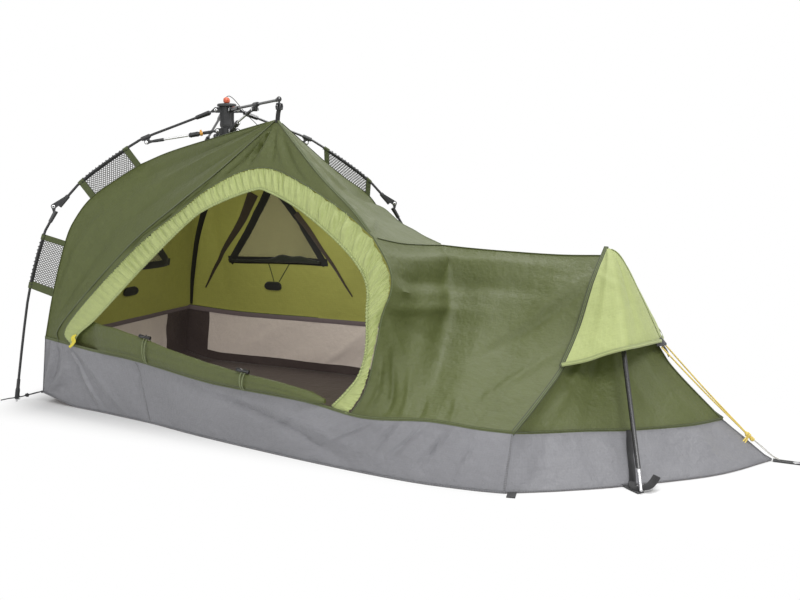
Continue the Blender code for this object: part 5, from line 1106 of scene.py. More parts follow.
def makeSeams():
    c = curve
    seam("doorSeamTape", [c["doorSeam"], c["peakDoor"][:-2]], 0.009)
    seam("hipSeams", [c["nearHip"][1:], c["farHip"][1:], c["backHip"][1:]], 0.007)
    seam("topSeams", [c["headTop"], c["farTop"], c["peakBack"][3:], c["nearTop"][:-3]], 0.006, 0.0009)
    seam("ridgeSeams", [c["doorRidge"][2:], c["ridge"], c["backRidge"][1:-1]], 0.007)
    seam("footSeams", [c["nearSeam"], c["farSeam"]], 0.012, 0.0013)
    seam("spineSeam", [c["spine"][4:]])
    seam("doorEdgeSeam", [c["doorSide"], c["arch"][1:]], 0.005, 0.0016)
    tops = [c[name] + (0, 0, 0.004) for name in ("tubNear", "tubFar", "headTub")]
    tops += [c[name] + (-0.001, 0, 0.004) for name in ("toeNear", "toeFar")]
    seam("tubTopSeam", tops, 0.01, 0.0012, "oliveHem")
    columns = []
    for name, share, start in (("tubNear", 0.295, 0), ("tubNear", 1.0, 0), ("tubNear", 0.0, 0),
                               ("tubFar", 0.0, 0), ("tubFar", 1.0, 0), ("tubFootNear", 1.0, 2),
                               ("tubFar", 0.48, 0)):
        grid = grids[name]
        columns.append(grid[start:, int(round(share * (grid.shape[1] - 1)))])
    seam("tubSeams", columns, 0.006, 0.001, "tubSeam")
    rim = [c[name] + (0.0, 0.0, 0.0032) for name in ("floorNear", "floorFar", "floorHead", "floorToe",
                                                     "floorToeFar")]
    seam("tubHem", rim, 0.006, 0.0012, "tubSeam")


makeSeams()


doorBand = {"rows": 800, "columns": 14, "pleats": 208, "thick": 0.0007}


def makeDoorBand():
    d = doorBand
    share = d["rows"] // 50
    outer = joined(smoothLine(lines["doorArch"], 38 * share), smoothLine(lines["doorSide"], 12 * share))
    inner = smoothLine(lines["bandInner"], d["rows"])
    s = np.arange(d["rows"] + 1) / d["rows"]
    way = inner - outer
    reach = np.linalg.norm(way, axis=1)[:, None]
    way = way / reach
    inset = 0.003 + 0.005 * np.clip((s - 0.7) / 0.06, 0, 1)[:, None]
    start = outer + way * inset
    start[-6:, 2] += 0.004
    along = np.gradient(outer, axis=0)
    puff = unit(np.cross(way, along))
    puff *= np.where(puff[:, 1:2] > 0, -1, 1)
    phase = 2 * pi * d["pleats"] * s + 2.4 * np.sin(2 * pi * 9 * s) + 1.7 * np.sin(2 * pi * 23 * s + 1.0)
    # pleats are sharp and deep at the arch and the far side, and nearly gone on the straight lower part
    depth = 0.35 + 0.65 * np.clip((s - 0.1) / 0.12, 0, 1) * (1 - 0.6 * np.clip((s - 0.88) / 0.08, 0, 1))
    deep = np.exp(-((s - 0.7) / 0.11) ** 2)
    rows = []
    for j in range(d["columns"]):
        t = j / (d["columns"] - 1)
        lean = phase + 1.2 * t * np.sin(2 * pi * 5 * s)
        fine = np.sin(lean) * (0.0024 * np.exp(-t / 0.35) + 0.001 * np.exp(-(1 - t) / 0.16) + 0.0006)
        broad = np.sin(lean * 0.34 + 1.5 * t) * 0.0034 * sin(pi * min(t * 1.1, 1.0))
        folds = np.sin(lean * 0.17 + 2.5 * t) * 0.0065 * sin(pi * min(t * 1.15, 1.0)) * deep
        lift = 0.0045 * sin(pi * min(1.0, 0.08 + t)) + (fine + broad) * depth + folds
        slide = np.cos(lean) * 0.001 * depth * (1 - t)
        wander = np.sin(lean * 0.17) * 0.0035 * deep + np.sin(lean * 0.34) * 0.0012 * depth
        scallop = wander * exp(-t / 0.25)
        rows.append(start + (inner - start) * t + puff * lift[:, None] + way * scallop[:, None]
                    + along / np.linalg.norm(along, axis=1)[:, None] * slide[:, None])
    grid = np.array(rows).transpose(1, 0, 2)
    grids["doorBand"] = grid
    solid, area = clothMesh("doorBand", [grid], d["thick"])
    hem = tape(grid[2:-2, -1] + puff[2:-2] * 0.0006, puff[2:-2], 0.0085, 0.0014)
    trim = addTubes("doorBandHem", [hem], "greenHem")
    thing = addPiece("doorBand", solid, ["lightGreen", "lightGreenInside"], "tent_body",
                     ["door_band"], fold=True)


makeDoorBand()
print("door band made")


doorRoll = {
    "marks": ((0.095, 0.052), (0.16, 0.051), (0.22, 0.05), (0.285, 0.046), (0.36, 0.044), (0.48, 0.038),
        (0.62, 0.033), (0.75, 0.029), (0.9, 0.023), (1.05, 0.0185), (1.19, 0.014)),
    "half": 0.0145,
    "clear": 0.006,
    "rings": 150,
    "sides": 40,
    "ties": (("doorTieLeft", "cord_lock_left", 0.497), ("doorTieRight", "cord_lock_right", 0.905)),
}


def makeDoorRoll():
    d = doorRoll
    sill = smoothLine(lines["tubNear"], 900)
    marks = np.array(d["marks"])
    at = np.array([np.argmin(abs(sill[:, 0] - x)) for x in marks[:, 0]])
    inward = 0.03 * np.clip((0.3 - marks[:, 0]) / 0.09, 0, 1) - 0.004
    upward = marks[:, 1] + d["clear"] - 0.5 * (inward + 0.004)
    path = smoothLine(sill[at] + np.stack([0 * at, inward, upward], axis=1), d["rings"])
    half = np.interp(path[:, 0], marks[:, 0], marks[:, 1])
    a = 2 * pi * np.arange(d["sides"]) / d["sides"]
    rings = []
    for i, (p, tall) in enumerate(zip(path, half)):
        x = p[0]
        close = min(1.0, 0.8 + 0.2 * i / 3, 0.45 + 0.55 * (len(path) - 1 - i) / 6)
        pinch = 1 - 0.28 * sum(exp(-((x - tie[2]) / 0.02) ** 2) for tie in d["ties"])
        folds = (1 + 0.1 * np.sin(3 * a + 4.0 * x) + 0.06 * np.sin(5 * a - 7.0 * x + 1.0)
                 + 0.05 * np.sin(8 * a + 11.0 * x)
                 - 0.16 * np.exp(-(((a - 3.5 - 0.5 * np.sin(5 * x)) / 0.16) ** 2))
                 - 0.12 * np.exp(-(((a - 4.3 + 0.4 * np.sin(4 * x)) / 0.13) ** 2)))
        bumps = 1 + 0.05 * np.array([noise.noise(Vector((x * 16, cos(q) * 1.5, sin(q) * 1.5))) for q in a])
        size = close * folds * bumps
        y = d["half"] * np.cos(a) * size * pinch
        z = tall * np.sin(a) * close * (1 + 0.1 * (folds - 1)) * bumps
        rings.append(np.stack([p[0] + 0 * a, p[1] + y, p[2] + z], axis=1))
    mesh = tubeMesh("doorRoll", [(np.array(rings), False)], 60)
    roll = addPiece("doorRoll", mesh, "olive", "tent_body", ["door_roll"], fold=True)

    for name, node, x in d["ties"]:
        k = int(np.argmin(abs(path[:, 0] - x)))
        p, tall = path[k], half[k]
        loops = []
        for side in (-1, 1):
            route = []
            for j in range(33):
                b = 2 * pi * j / 32
                drop = 0.001 if sin(b) < 0 else 0.003
                route.append((x + side * (0.0042 + 0.0015 * sin(b)), p[1] + 0.019 * cos(b),
                              p[2] + (tall + drop) * sin(b)))
            loops.append(tube(route[:-1], 0.0017, 8, loop=True))
        addTubes(name, loops, "oliveCord", replaced=[node])
        bar = p + np.array((0.0, -0.003, tall + 0.0085))
        marksX = (-0.02, -0.019, -0.008, 0.0, 0.008, 0.019, 0.02)
        ends = [bar + np.array((dx, 0.15 * dx, -0.15 * dx)) for dx in marksX]
        toggle = tube(ends, [0.0032, 0.0058, 0.0052, 0.004, 0.0052, 0.0058, 0.0032], 14)
        tails = [tube(smoothLine([bar + np.array((s * 0.003, -0.002, 0.002)),
                                  bar + np.array((s * 0.011, -0.007, 0.009)),
                                  bar + np.array((s * 0.017, -0.01, 0.004))], 10), 0.001, 7) for s in (-1, 1)]
        addTubes(name + "Toggle", [toggle] + tails, "blackGloss")


makeDoorRoll()

# Yellow ribbon on the slide fastener at the band's lower end
zipPull = {
    "at": (0.166, -0.3895, 0.218),
    "steps": ((0.0, 0.0, 0.03), (-0.004, -0.006, 0.022), (0.003, -0.01, 0.01), (-0.005, -0.009, 0.0),
        (-0.013, -0.012, -0.008)),
}


def makeZipPull():
    z = zipPull
    route = smoothLine([np.array(z["at"]) + np.array(step) for step in z["steps"]], 20)
    ribbon = tape(route, (0.3, -1.0, 0.2), 0.009, 0.0014)
    other = tape(route + np.array((0.008, -0.001, 0.004)), (0.1, -1.0, 0.5), 0.008, 0.0014)
    addTubes("zipPull", [ribbon, other], "yellowTape")


makeZipPull()
print("door roll made")


# Hood over the foot, with its hem and the black tape that takes the cords
hood = {"columns": 48, "rows": 60, "puff": 0.006}


def mirrored(points):
    return np.array(points) * (1, -1, 1)


def makeHood():
    h = hood
    top = np.repeat([np.array(lines["hoodSpine"][0], float)], h["columns"] + 1, axis=0)
    hem = smoothLine(lines["hoodHem"], h["columns"])
    edge = smoothLine(lines["hoodEdge"], h["rows"])
    spine = smoothLine(lines["hoodSpine"], h["rows"])
    puff = lambda u, v: h["puff"] * np.sin(pi * u) * np.sin(pi * v)
    folds = ((0.35, 0.05, 0.2, 0.9, 0.014, 0.003), (0.7, 0.05, 0.62, 0.92, 0.012, -0.003),
             (0.15, 0.3, 0.5, 0.45, 0.01, 0.0025))
    near = formed(patch(top, hem, edge, spine), folds=folds, ripple=0.0011, seed=31.0, hold=0.02, wave=puff)
    far = formed(patch(top, mirrored(hem), mirrored(edge), spine), folds=folds, ripple=0.0011, seed=32.0,
                 hold=0.02, wave=puff)
    solid, area = clothMesh("footHood", [near, far])
    grids["hoodNear"], grids["hoodFar"] = near, far
    rim = joined(hem[:-1], mirrored(hem)[::-1])
    hemTape = tape(rim + (0.0012, 0, 0.004), outAlong(rim), 0.011, 0.0013)
    crest = tape(spine[3:] + (0.0004, 0, 0.0004), outAlong(spine[3:]), 0.007, 0.0011)
    trim = addTubes("hoodHem", [hemTape, crest], "greenHem")
    flap = addPiece("footHood", solid, ["lightGreen", "lightGreenInside"], "tent_body",
                    ["foot_hood"], fold=True)
    edging = [tape(side, outAlong(side), 0.013, 0.0016) for side in (edge, mirrored(edge))]
    addTubes("hoodSideTapes", edging, "oliveSeam")
    tip = hem[-1]
    ways = [tip + (-0.014, -0.046, 0.006), tip + (-0.002, -0.022, 0.003), tip + (0.004, 0.0, 0.003),
            tip + (-0.002, 0.022, 0.003), tip + (-0.014, 0.046, 0.006)]
    tab = [tape(smoothLine(ways, 20), (0.75, 0.0, 0.65), 0.026, 0.002),
           tape(smoothLine([tip + (-0.004, 0.0, -0.004), tip + (0.012, 0.0, -0.022),
                            tip + (0.02, 0.0, -0.04)], 8), (0.75, 0.0, 0.65), 0.022, 0.0016)]
    addTubes("hoodTab", tab, "blackWebbing")


makeHood()


# Awnings stand off the two windows on the outside
awnings = {"deep": 0.11, "droop": 0.03, "rows": 24}


def makeAwning(name, node, corners, out, panel, clear):
    a = awnings
    out = unit(np.array(out))
    top, left, right = (np.array(p) + out * clear for p in corners)
    front = (left + right) / 2 + out * a["deep"] - (0, 0, a["droop"])
    grids = []
    for side in (left, right):
        edge = cling(panel, smoothLine([top, side], a["rows"]), 0.005)[0]
        lip = smoothLine([top, (top * 0.5 + front * 0.5) + out * 0.006, front], a["rows"])
        lip[0] = edge[0]
        fan = np.repeat([edge[0]], a["rows"] + 1, axis=0)
        low = smoothLine([edge[-1], (side + front) / 2 + out * 0.006 - (0, 0, 0.006), front], a["rows"])
        grids.append(patch(fan, low, edge, lip))
    solid, area = clothMesh(name, grids)
    rim = joined(smoothLine([left, (left + front) / 2 + out * 0.006 - (0, 0, 0.006), front], 24),
                 smoothLine([front, (right + front) / 2 + out * 0.006 - (0, 0, 0.006), right], 24))
    hem = addTubes(name + "Hem", [tape(rim, out, 0.01, 0.0014)], "oliveSeam")
    cloth = addPiece(name, solid, ["olive", "awningInside"], "tent_body", [node], fold=True)


makeAwning("headAwning", "head_hood", lines["headHood"], (-1.0, 0.0, 0.25), "headWall", 0.012)
makeAwning("farAwning", "far_hood", lines["backHood"], (0.0, 1.0, 0.25), "farWall", 0.02)
print("hood and awnings made")


# Inside: window frames, bunched nets, pouches, corner strip and patch, binding and the floor's cove
inside = {"frame": 0.029, "gap": -0.0022,
          "strips": ((((0.357, 0.253), (0.274, 0.458), (0.161, 0.66), (0.077, 0.872)), 0.042),
                     (((0.571, 0.392), (0.649, 0.531), (0.726, 0.694), (0.78, 0.851)), 0.028)),
          "corner": ((0.072, 0.33), (0.056, 0.43), (0.026, 0.625), (0.009, 0.84), (0.003, 0.985)),
          "pouch": ((0.375, 0.821), (0.452, 0.819))}


def onPanel(name, shares, gap, count=50):
    # a line drawn on a panel by shares of its width and height, with the panel's outward normals
    grid = grids[name]
    normals = outward(grid)[0]
    reach = (grid.shape[1] - 1.001, grid.shape[0] - 1.001)
    line = smoothLine([(u, v, 0.0) for u, v in shares], count)[:, :2] * reach
    column, row = line.astype(int).T
    a, b = (line - line.astype(int)).T[:, :, None]
    blend = lambda g: ((g[row, column] * (1 - a) + g[row, column + 1] * a) * (1 - b)
                       + (g[row + 1, column] * (1 - a) + g[row + 1, column + 1] * a) * b)
    return blend(grid) + blend(normals) * gap, blend(normals)


def makeInside():
    i = inside
    frames, strips = [], []
    for panel, corners in (("farWall", lines["backWindow"]), ("headWall", lines["headWindow"])):
        middle = np.mean(corners, axis=0)
        top, left, right = (middle + (np.array(p) - middle) * 0.91 for p in corners)
        for a, b in ((top, left), (left, right), (right, top)):
            spots, normals = cling(panel, smoothLine([a + (a - b) * 0.04, b + (b - a) * 0.04], 40), i["gap"])
            frames.append(tape(spots, -normals, i["frame"], 0.0016))
    # painted shadow: two tapering brown strips on the far wall's inside stand in for the outer awning's
    # shadow seen through the cloth
    for shares, wide in i["strips"]:
        spots, normals = onPanel("farWall", shares, i["gap"] - 0.0015)
        strips.append(tape(spots, -normals, np.linspace(wide, 0.006, len(spots)), 0.0012))
    addTubes("windowFrames", frames, "blackTape")
    addTubes("awningShadowStrips", strips, "brownTape")

    # the inner net, dropped and bunched along the far window's lower edge
    top, left, right = (np.array(p) for p in lines["backWindow"])
    spots, normals = cling("farWall", smoothLine([left + (0.03, 0, 0.006), right + (-0.03, 0, 0.006)], 60),
                           -0.012)
    t = np.linspace(0, 1, len(spots))
    size = 0.005 + 0.01 * np.exp(-((t - 0.6) / 0.15) ** 2) + 0.006 * np.exp(-((t - 0.82) / 0.1) ** 2)
    size = size * (1 + 0.1 * np.sin(23 * t + 5 * t * t))
    spots[:, 2] += size * 0.9
    addTubes("bunchedNet", [tube(spots, size, 12)], "blackNetCloth")

    pouches = []
    head = smoothLine([(0.04, 0.071, 0.33), (0.04, -0.001, 0.33)], 30)
    for spots, normals in (onPanel("farWall", i["pouch"], -0.003, 30), cling("headWall", head, -0.003)):
        fullness = np.clip(1 - abs(np.linspace(-1, 1, len(spots))) ** 5, 0.1, 1) ** 0.5
        pouches.append(tape(spots, -normals, 0.036 * fullness, 0.0085))
    addTubes("pouches", pouches, "blackTape")
    cords = []
    for x in (0.445, 0.54):
        loop = smoothLine([(0.462 + (x - 0.46) * 0.25, 0.372, 0.35), (x, 0.36, 0.425)], 16)
        spots, normals = cling("farWall", loop, i["gap"])
        cords.append(tape(spots, -normals, 0.004, 0.0012))
    addTubes("pouchLoops", cords, "oliveTape")

    c = curve
    spots, normals = onPanel("farWall", i["corner"], i["gap"])
    strip = tape(spots, -normals, np.linspace(0.026, 0.018, len(spots)), 0.0016)
    addTubes("cornerStrip", [strip], "blackTape")

    edges = []
    for name, row in (("tubFar", c["tubFar"]), ("tubHead", c["headTub"]), ("tubNear", c["tubSill"])):
        path = row[::3] + (0, 0, -0.002)
        inward = coreOf(path) - path
        inward[:, 2] = 0
        inward = unit(inward)
        edges.append(tape(path + inward * 0.0028, inward, 0.01 if name == "tubNear" else 0.018, 0.0016))
    addTubes("tubBinding", edges, "bindingBrown")

    # the floor cloth turns up along the foot of the far wall and over the corner behind
    for name, panel, startU, endU, tall in (("floorCove", "tubFar", 0.0, 0.8, 0.07),
                                            ("cornerPatch", "tubFar", 0.0, 0.05, 1.0),
                                            ("cornerPatchHead", "tubHead", 0.84, 1.0, 1.0),
                                            ("floorCoveHead", "tubHead", 0.0, 0.9, 0.07)):
        grid = grids[panel]
        rows, columns = grid.shape[:2]
        first, last = int(startU * (columns - 1)), int(endU * (columns - 1))
        part = grid[:max(3, int(round(tall * (rows - 1)))) + 1, first:last + 1]
        normal = outward(grid)[0][:part.shape[0], first:last + 1]
        gap = 0.0022 if "Patch" in name else 0.0014
        sunk = part - normal * gap
        if name == "cornerPatch":
            # its far edge is cut upright, from one distance below to another above
            ends = np.linspace(0.102, 0.132, len(sunk))
            whole = grid - outward(grid)[0] * gap
            sunk = np.array([np.stack([np.interp(np.linspace(row[0, 0], end, 12), row[:, 0], row[:, k])
                                       for k in range(3)], axis=1) for row, end in zip(whole, ends)])
        solid, area = clothMesh(name, [sunk], paneThickness)
        thing = addPiece(name, solid, "floorBrown", "tent_body", fold=True)


makeInside()
print("inside made")


# Finishes on the frame's own parts, which keep the CAD's shapes
strutBands = {"leg": (0.0828, 0.0927, 0.1291, 0.2261), "front": (0.0818, 0.0915, 0.1272, 0.2209)}


def makeStrut(name, bands):
    # steel rod with black ends and a black lock sleeve, by the distance from the hub's axis
    f = Finish(name, (0.6, 0.6, 0.61), 0.3)
    x, y = f.axis(f.place(), 0) + (originX - hubX), f.axis(f.place(), 1)
    reach = (x * x + y * y) ** 0.5
    grain = f.noise(500.0, 3.0)
    dust = f.noise(40.0, 4.0)
    a, b, c, d = (reach.above(edge) for edge in bands)
    black = (1 - a) + b * (1 - c) + d
    steel = f.mix(dust.ramp(0.4, 0.8), (0.62, 0.62, 0.63), (0.44, 0.44, 0.45))
    f.feed("Base Color", f.mix(black, steel, f.mix(dust, (0.014, 0.015, 0.016), (0.04, 0.041, 0.043))))
    f.feed("Metallic", 1 - black)
    f.feed("Roughness", 0.24 + black * 0.16 + grain * 0.08 + dust * 0.08)
    f.bump(grain * 0.4 + dust * 0.2, 0.0002, 0.4)
    return f.material


looks["strutSteel"] = makeStrut("strutSteel", strutBands["leg"])
looks["frontStrutSteel"] = makeStrut("frontStrutSteel", strutBands["front"])

frameLooks = {
    "upper_hub": "blackPlastic",
    "lower_hub": "blackPlastic",
    "release_knob": "orangePlastic",
    "front_arm": "pole",
    "front_arm_bracket": "blackPlastic",
    "front_arm_strut": "frontStrutSteel",
    "strut_clip": "amberPlastic",
    "foot_pole_near": "footPole",
    "foot_pole_far": "footPole",
    "foot_apex_joint": "blackPlastic",
    "cord_lock_left": "blackPlastic",
    "cord_lock_right": "blackPlastic",
}
for leg in legs:
    frameLooks.update({leg + "_upper_pole": "pole", leg + "_bracket": "blackPlastic",
                       leg + "_strut": "strutSteel", leg + "_elbow_fork": "blackPlastic",
                       leg + "_lower_pole": "legPole"})
for node, look in frameLooks.items():
    for slot in bpy.data.objects[node].material_slots:
        slot.material = looks[look]
print("frame finished")


# Steel rivets with pressed heads in every joint of the frame: distance out, height and half length
rivets = {
    "head": 0.0052,
    "joints": (("Arm", 0.037, 0.988, 0.0072), ("Strut", 0.034, 0.918, 0.0072),
        ("Elbow", 0.5776, 0.6677, 0.0075)),
}
bracketAt = {arm: (0.262, 0.979) if arm == "front" else (0.268, 0.879) for arm in armAngle}
strutBody = {arm: arm + "_strut" for arm in armAngle}


def stemOf(arm):
    return "front_arm" if arm == "front" else arm


def tagOf(arm):
    return arm.title().replace("_", "")


def rivetHead(arm, r, z, across, way):
    a = rivets["head"]
    profile = ((0.0002, 0.0), (a, 0.0), (a * 1.02, 0.0005), (a * 0.86, 0.001), (a * 0.55, 0.0013),
               (a * 0.5, 0.0008), (0.0002, 0.0007))
    at = onArm(arm, r, z, across)
    out = onArm(arm, r, z, across + way) - at
    return turned(profile, at, unit(out), 18)


def rivetReach(part, arm, r, z, size=0.006):
    # how far a part of an arm reaches on both sides of its plane, close to a pivot
    thing = bpy.data.objects["%s_%s" % (stemOf(arm), part)]
    a = armAngle[arm]
    found = []
    for vertex in thing.data.vertices:
        p = thing.matrix_world @ vertex.co
        x, y = p.x + originX - hubX, p.y
        if hypot(x * cos(a) + y * sin(a) - r, p.z - z) < size:
            found.append(-x * sin(a) + y * cos(a))
    return (min(found), max(found)) if found else (-0.0075, 0.0075)


def makeRivets():
    bodies = {"Arm": lambda arm: "frame_hub", "Strut": lambda arm: "lower_hub",
              "Elbow": lambda arm: arm + "_upper", "Bracket": strutBody.get}
    for arm, pivot in bracketAt.items():
        low, high = zip(*(rivetReach(part, arm, *pivot) for part in ("strut", "bracket")))
        sets = [(name, r, z, (-half, half)) for name, r, z, half in rivets["joints"]]
        for name, r, z, ends in sets + [("Bracket", *pivot, (min(low), max(high)))]:
            if (arm, name) != ("front", "Elbow"):
                heads = [rivetHead(arm, r, z, end, way) for end, way in zip(ends, (-0.001, 0.001))]
                addTubes("rivet" + name + tagOf(arm), heads, "paleSteel", bodies[name](arm),
                         fold=False)


makeRivets()
print("rivets made")


# Round each strut: its rod, a sleeve over its lock, and a rubber end next to the bracket
strutCovers = {
    "inner": (0.034, 0.918), "rod": 0.0037, "end": 0.0056, "sleeve": 0.0086,
    "sleeveMarks": ((0.064, 0.46, 0.9), (0.0655, 0.48, 1.0), (0.07, 0.54, 1.0), (0.0708, 0.55, 0.93),
                    (0.0868, 0.76, 0.93), (0.0876, 0.77, 1.0), (0.0905, 0.81, 1.0), (0.092, 0.83, 0.9)),
    "endMarks": ((0.058, 0.75), (0.056, 1.0), (0.03, 0.92), (0.014, 0.7)),
}


def makeStrutCovers():
    g = strutCovers
    for arm, pivot in bracketAt.items():
        inner, outer = np.array(g["inner"]), np.array(pivot)
        length = float(np.linalg.norm(outer - inner))
        offset = sum(rivetReach("strut", arm, *(inner + (outer - inner) * 0.75), 0.02)) / 2

        def spot(along, share=1.0):
            r, z = inner + (outer - inner) * along / length
            return onArm(arm, r, z, offset * share)

        rod = tube([spot(0.099, 0.93), spot(0.112), spot(length - 0.052)], g["rod"], 12)
        sleeve = tube([spot(along, share) for along, share, size in g["sleeveMarks"]],
                      [size * g["sleeve"] for along, share, size in g["sleeveMarks"]], 16)
        end = tube([spot(length - back) for back, size in g["endMarks"]],
                   [g["end"] * size for back, size in g["endMarks"]], 14)
        addTubes("strutRod" + tagOf(arm), [rod], "paleSteel", strutBody[arm], fold=False)
        addTubes("strutSleeve" + tagOf(arm), [sleeve, end], "blackPlastic", strutBody[arm],
                 fold=False)


makeStrutCovers()


# Nets join each leg to the cloth: a fine mesh with olive straps, laced round the pole
nets = {"spans": (("Upper", "upper", "legPole", (0.328, 0.494), {"leg_2": (0.306, 0.49)}, (0.29, 0.46)),
                  ("Lower", "lower", "legShin", (0.614, 0.67), {"leg_2": (0.546, 0.594)}, (0.5455, 0.598))),
        "count": 30, "rows": 12, "strap": 0.02, "gap": 0.0046}


def betweenR(profile, arm, start, end, count):
    # points of an arm's profile between two distances from the hub's axis
    line = smoothLine([(r, 0.0, z) for r, z in profile], 400)
    line = line[(line[:, 0] >= start) & (line[:, 0] <= end)]
    pick = line[np.linspace(0, len(line) - 1, count + 1).astype(int)]
    return np.array([onArm(arm, p[0], p[2]) for p in pick])


def makeNets():
    n = nets
    for leg in legs:
        hipLine = lines["backHip" if leg == "leg_2" else "headHip"]
        swing = {"leg_1": "nearHip", "leg_2": "backHip", "leg_3": "farHip"}[leg]
        for name, node, poleLine, span, other, hipSpan in n["spans"]:
            piece = "net" + name + leg[-1]
            pole = betweenR(lines[poleLine], leg, *span, n["count"] * 2)
            hips = betweenR(hipLine, leg, *other.get(leg, hipSpan), n["count"])
            # the lower edge meets the seam itself, at the same heights
            height = curve[swing][::-1, 2]
            low = np.array([[np.interp(p[2], height, curve[swing][::-1, k]) for k in range(3)] for p in hips])
            tops = pole[::2]
            way = unit(low - tops)
            start, end = tops + way * n["gap"], low + way * 0.001
            side = np.cross(slopeOf(tops), way)
            grid = np.array([start + (end - start) * t for t in np.linspace(0, 1, n["rows"] + 1)])
            solid, area = clothMesh(piece, [grid], 0.0007)
            straps = []
            share = n["strap"] / np.linalg.norm(start[-1] - start[0])
            for first, last in ((0.0, share), (1 - share, 1.0)):
                a, b = int(first * n["count"]), int(round(last * n["count"]))
                b = max(b, a + 2)
                for face in (-1, 1):
                    part = grid[:, a:b + 1] + side[a:b + 1][None] * 0.001 * face
                    straps.append(np.array([[part[i, 0], part[i, -1], part[i, -1] + side[a] * 0.0012 * face,
                                             part[i, 0] + side[a] * 0.0012 * face]
                                            for i in range(len(part))]))
            # each strap goes round the pole and is piped in black beside the pane
            piping = []
            for k, first in ((0, 1), (n["count"], -1)):
                b = k + first * int(round(share * n["count"]))
                loop = tops[min(k, b):max(k, b) + 1]
                straps.append(ringsAlong(loop, 0.0062, 14))
                piping.append(tube(grid[:, b], 0.0014, 6))
            piping.append(tube(grid[0] + way * 0.0012, 0.0024, 8))
            strapPiece = addTubes(piece + "Straps", [(rings, False) for rings in straps], "oliveTape")
            edgePiece = addTubes(piece + "Piping", piping, "blackTape")
            pane = addPiece(piece, solid, ["paleNet", "paleNet"], "tent_body",
                            ["%s_net_%s" % (leg, node)], fold=True)
            # black elastic wound round the pole and caught in the net's upper hem
            turns = max(3, int(lineLength(pole) / 0.013))
            route = []
            along = slopeOf(pole)
            for i in range(turns * 14 + 1):
                s = i / (turns * 14)
                k = min(len(pole) - 1, int(s * (len(pole) - 1)))
                a = 2 * pi * turns * s
                up = unit(np.cross(along[k], np.cross(way[min(len(way) - 1, k // 2)], along[k])))
                beside = np.cross(along[k], up)
                reach = 0.0056 + 0.0024 * max(0.0, cos(a)) ** 3
                route.append(pole[k] + (up * cos(a) + beside * sin(a)) * reach)
            lace = tube(route, 0.001, 6)
            wrap = addTubes(piece + "Lacing", [lace], "blackCord")


makeNets()
print("nets made")


# Guyline: two yellow strands to a knot, a tail, and two thin white lines to the peg's webbing
guy = {
    "start": (1.9935, 0.026, 0.298),
    "knot": (2.233, 0.0, 0.065),
    "radius": 0.0022,
    "end": (2.316, 0.0, 0.0062),
}


def makeGuyline():
    g = guy
    x, half, z = g["start"]
    knot = np.array(g["knot"])
    near, far = ([(x, side * half, z), ((x + knot[0]) / 2, side * half * 0.52, (z + knot[2]) / 2 - 0.0035),
                  knot + (0.0, side * 0.0018, 0.0)] for side in (-1, 1))
    route = smoothLine(near, 40)
    cord = addTubes("guyStrand", [tube(route, g["radius"], 12)], "yellowCord")
    cross = tube([(x, -half - g["radius"], z - 0.0005), (x, 0.0, z - 0.0012),
                  (x, half + g["radius"], z - 0.0005)], g["radius"], 9)
    tail = tube(smoothLine([knot, (2.226, -0.014, 0.056), (2.214, -0.03, 0.044)], 14), 0.0024, 8)
    second = tube(smoothLine([knot, (2.232, -0.012, 0.056), (2.222, -0.026, 0.04)], 12), 0.0022, 8)
    ball = knotRings(knot, (0.72, 0.0, -0.69), 0.0078)
    fat = knotRings(knot + (0.011, -0.001, -0.01), (0.5, 0.6, -0.69), 0.0062)
    other = addTubes("guyOtherStrand", [tube(smoothLine(far, 40), g["radius"], 9), cross, tail, second],
                     "yellowCord", replaced=["guyline"])
    lump = addTubes("guylineKnot", [ball, fat], "yellowCord")
    for name, side in (("guyLeadNear", -1), ("guyLeadFar", 1)):
        line = smoothLine([knot, (2.27, 0.006 * side, 0.036), (2.3, 0.004 * side, 0.013),
                           np.array(g["end"]) + (0.0, 0.003 * side, 0.0)], 24)
        lead = addTubes(name, [tube(line, 0.001, 8)], "whiteLine")


makeGuyline()


# Elastic cords from the tub's corners round the legs' feet
cornerCords = {"radius": 0.0019, "corners": {"leg_1": (0.0, -0.38, 0.034), "leg_2": (1.065, 0.383, 0.0),
                                             "leg_3": (-0.004, 0.402, 0.034)}}


def makeCornerCords():
    for leg, corner in cornerCords["corners"].items():
        away, footR = 0.0115, 0.733
        foot = onArm(leg, footR, 0.015, -away)
        corner = np.array(corner)
        corner[2] = max(corner[2] + 0.004, 0.012)
        pull = unit(np.array((foot[0], foot[1], corner[2])) - corner)
        start = corner + pull * 0.0045
        knot = start + (foot - start) * 0.62
        knot[2] = max(knot[2], 0.01)
        side = np.array((-pull[1], pull[0], 0.0))
        way = unit(foot - knot)
        bent = [[start + side * 0.001 * k, (start + knot) / 2 + side * 0.006 * k, knot + side * 0.001 * k]
                for k in (-1, 1)]
        name = "cornerCord" + leg[-1]
        cord, route = wirePiece(name, bent[0] + [foot, onArm(leg, footR + 0.03, 0.011, -away - 0.006),
                                                 onArm(leg, footR + 0.06, 0.0045, -away - 0.012)],
                                cornerCords["radius"], "blackCord", "tent_body", 60,
                                [leg + "_corner_cord"])
        # a half hitch that hugs the foot's boot
        turn = [onArm(leg, footR + 0.011 * cos(a), 0.017 + 0.003 * sin(2 * a), 0.011 * sin(a))
                for a in np.linspace(-2.2, 2.6, 26)]
        hitch = tube(turn, 0.0014, 8)
        ball = knotRings(knot, way, 0.0062)
        lump = addTubes(name + "Knot", [ball, hitch, tube(smoothLine(bent[1], 22), 0.0018, 8)], "blackCord",
                        fold=False)
        loop = tape(smoothLine([corner + (0, 0, -0.004), corner + pull * 0.004, corner + pull * 0.0075], 8),
                    (0, 0, 1), 0.016, 0.0018)
        addTubes(name + "Tab", [loop], "blackWebbing")


makeCornerCords()
print("cords made")


# Rubber boots on the legs' feet
boots = {"from": 0.0135, "to": 0.052, "size": 0.0076}


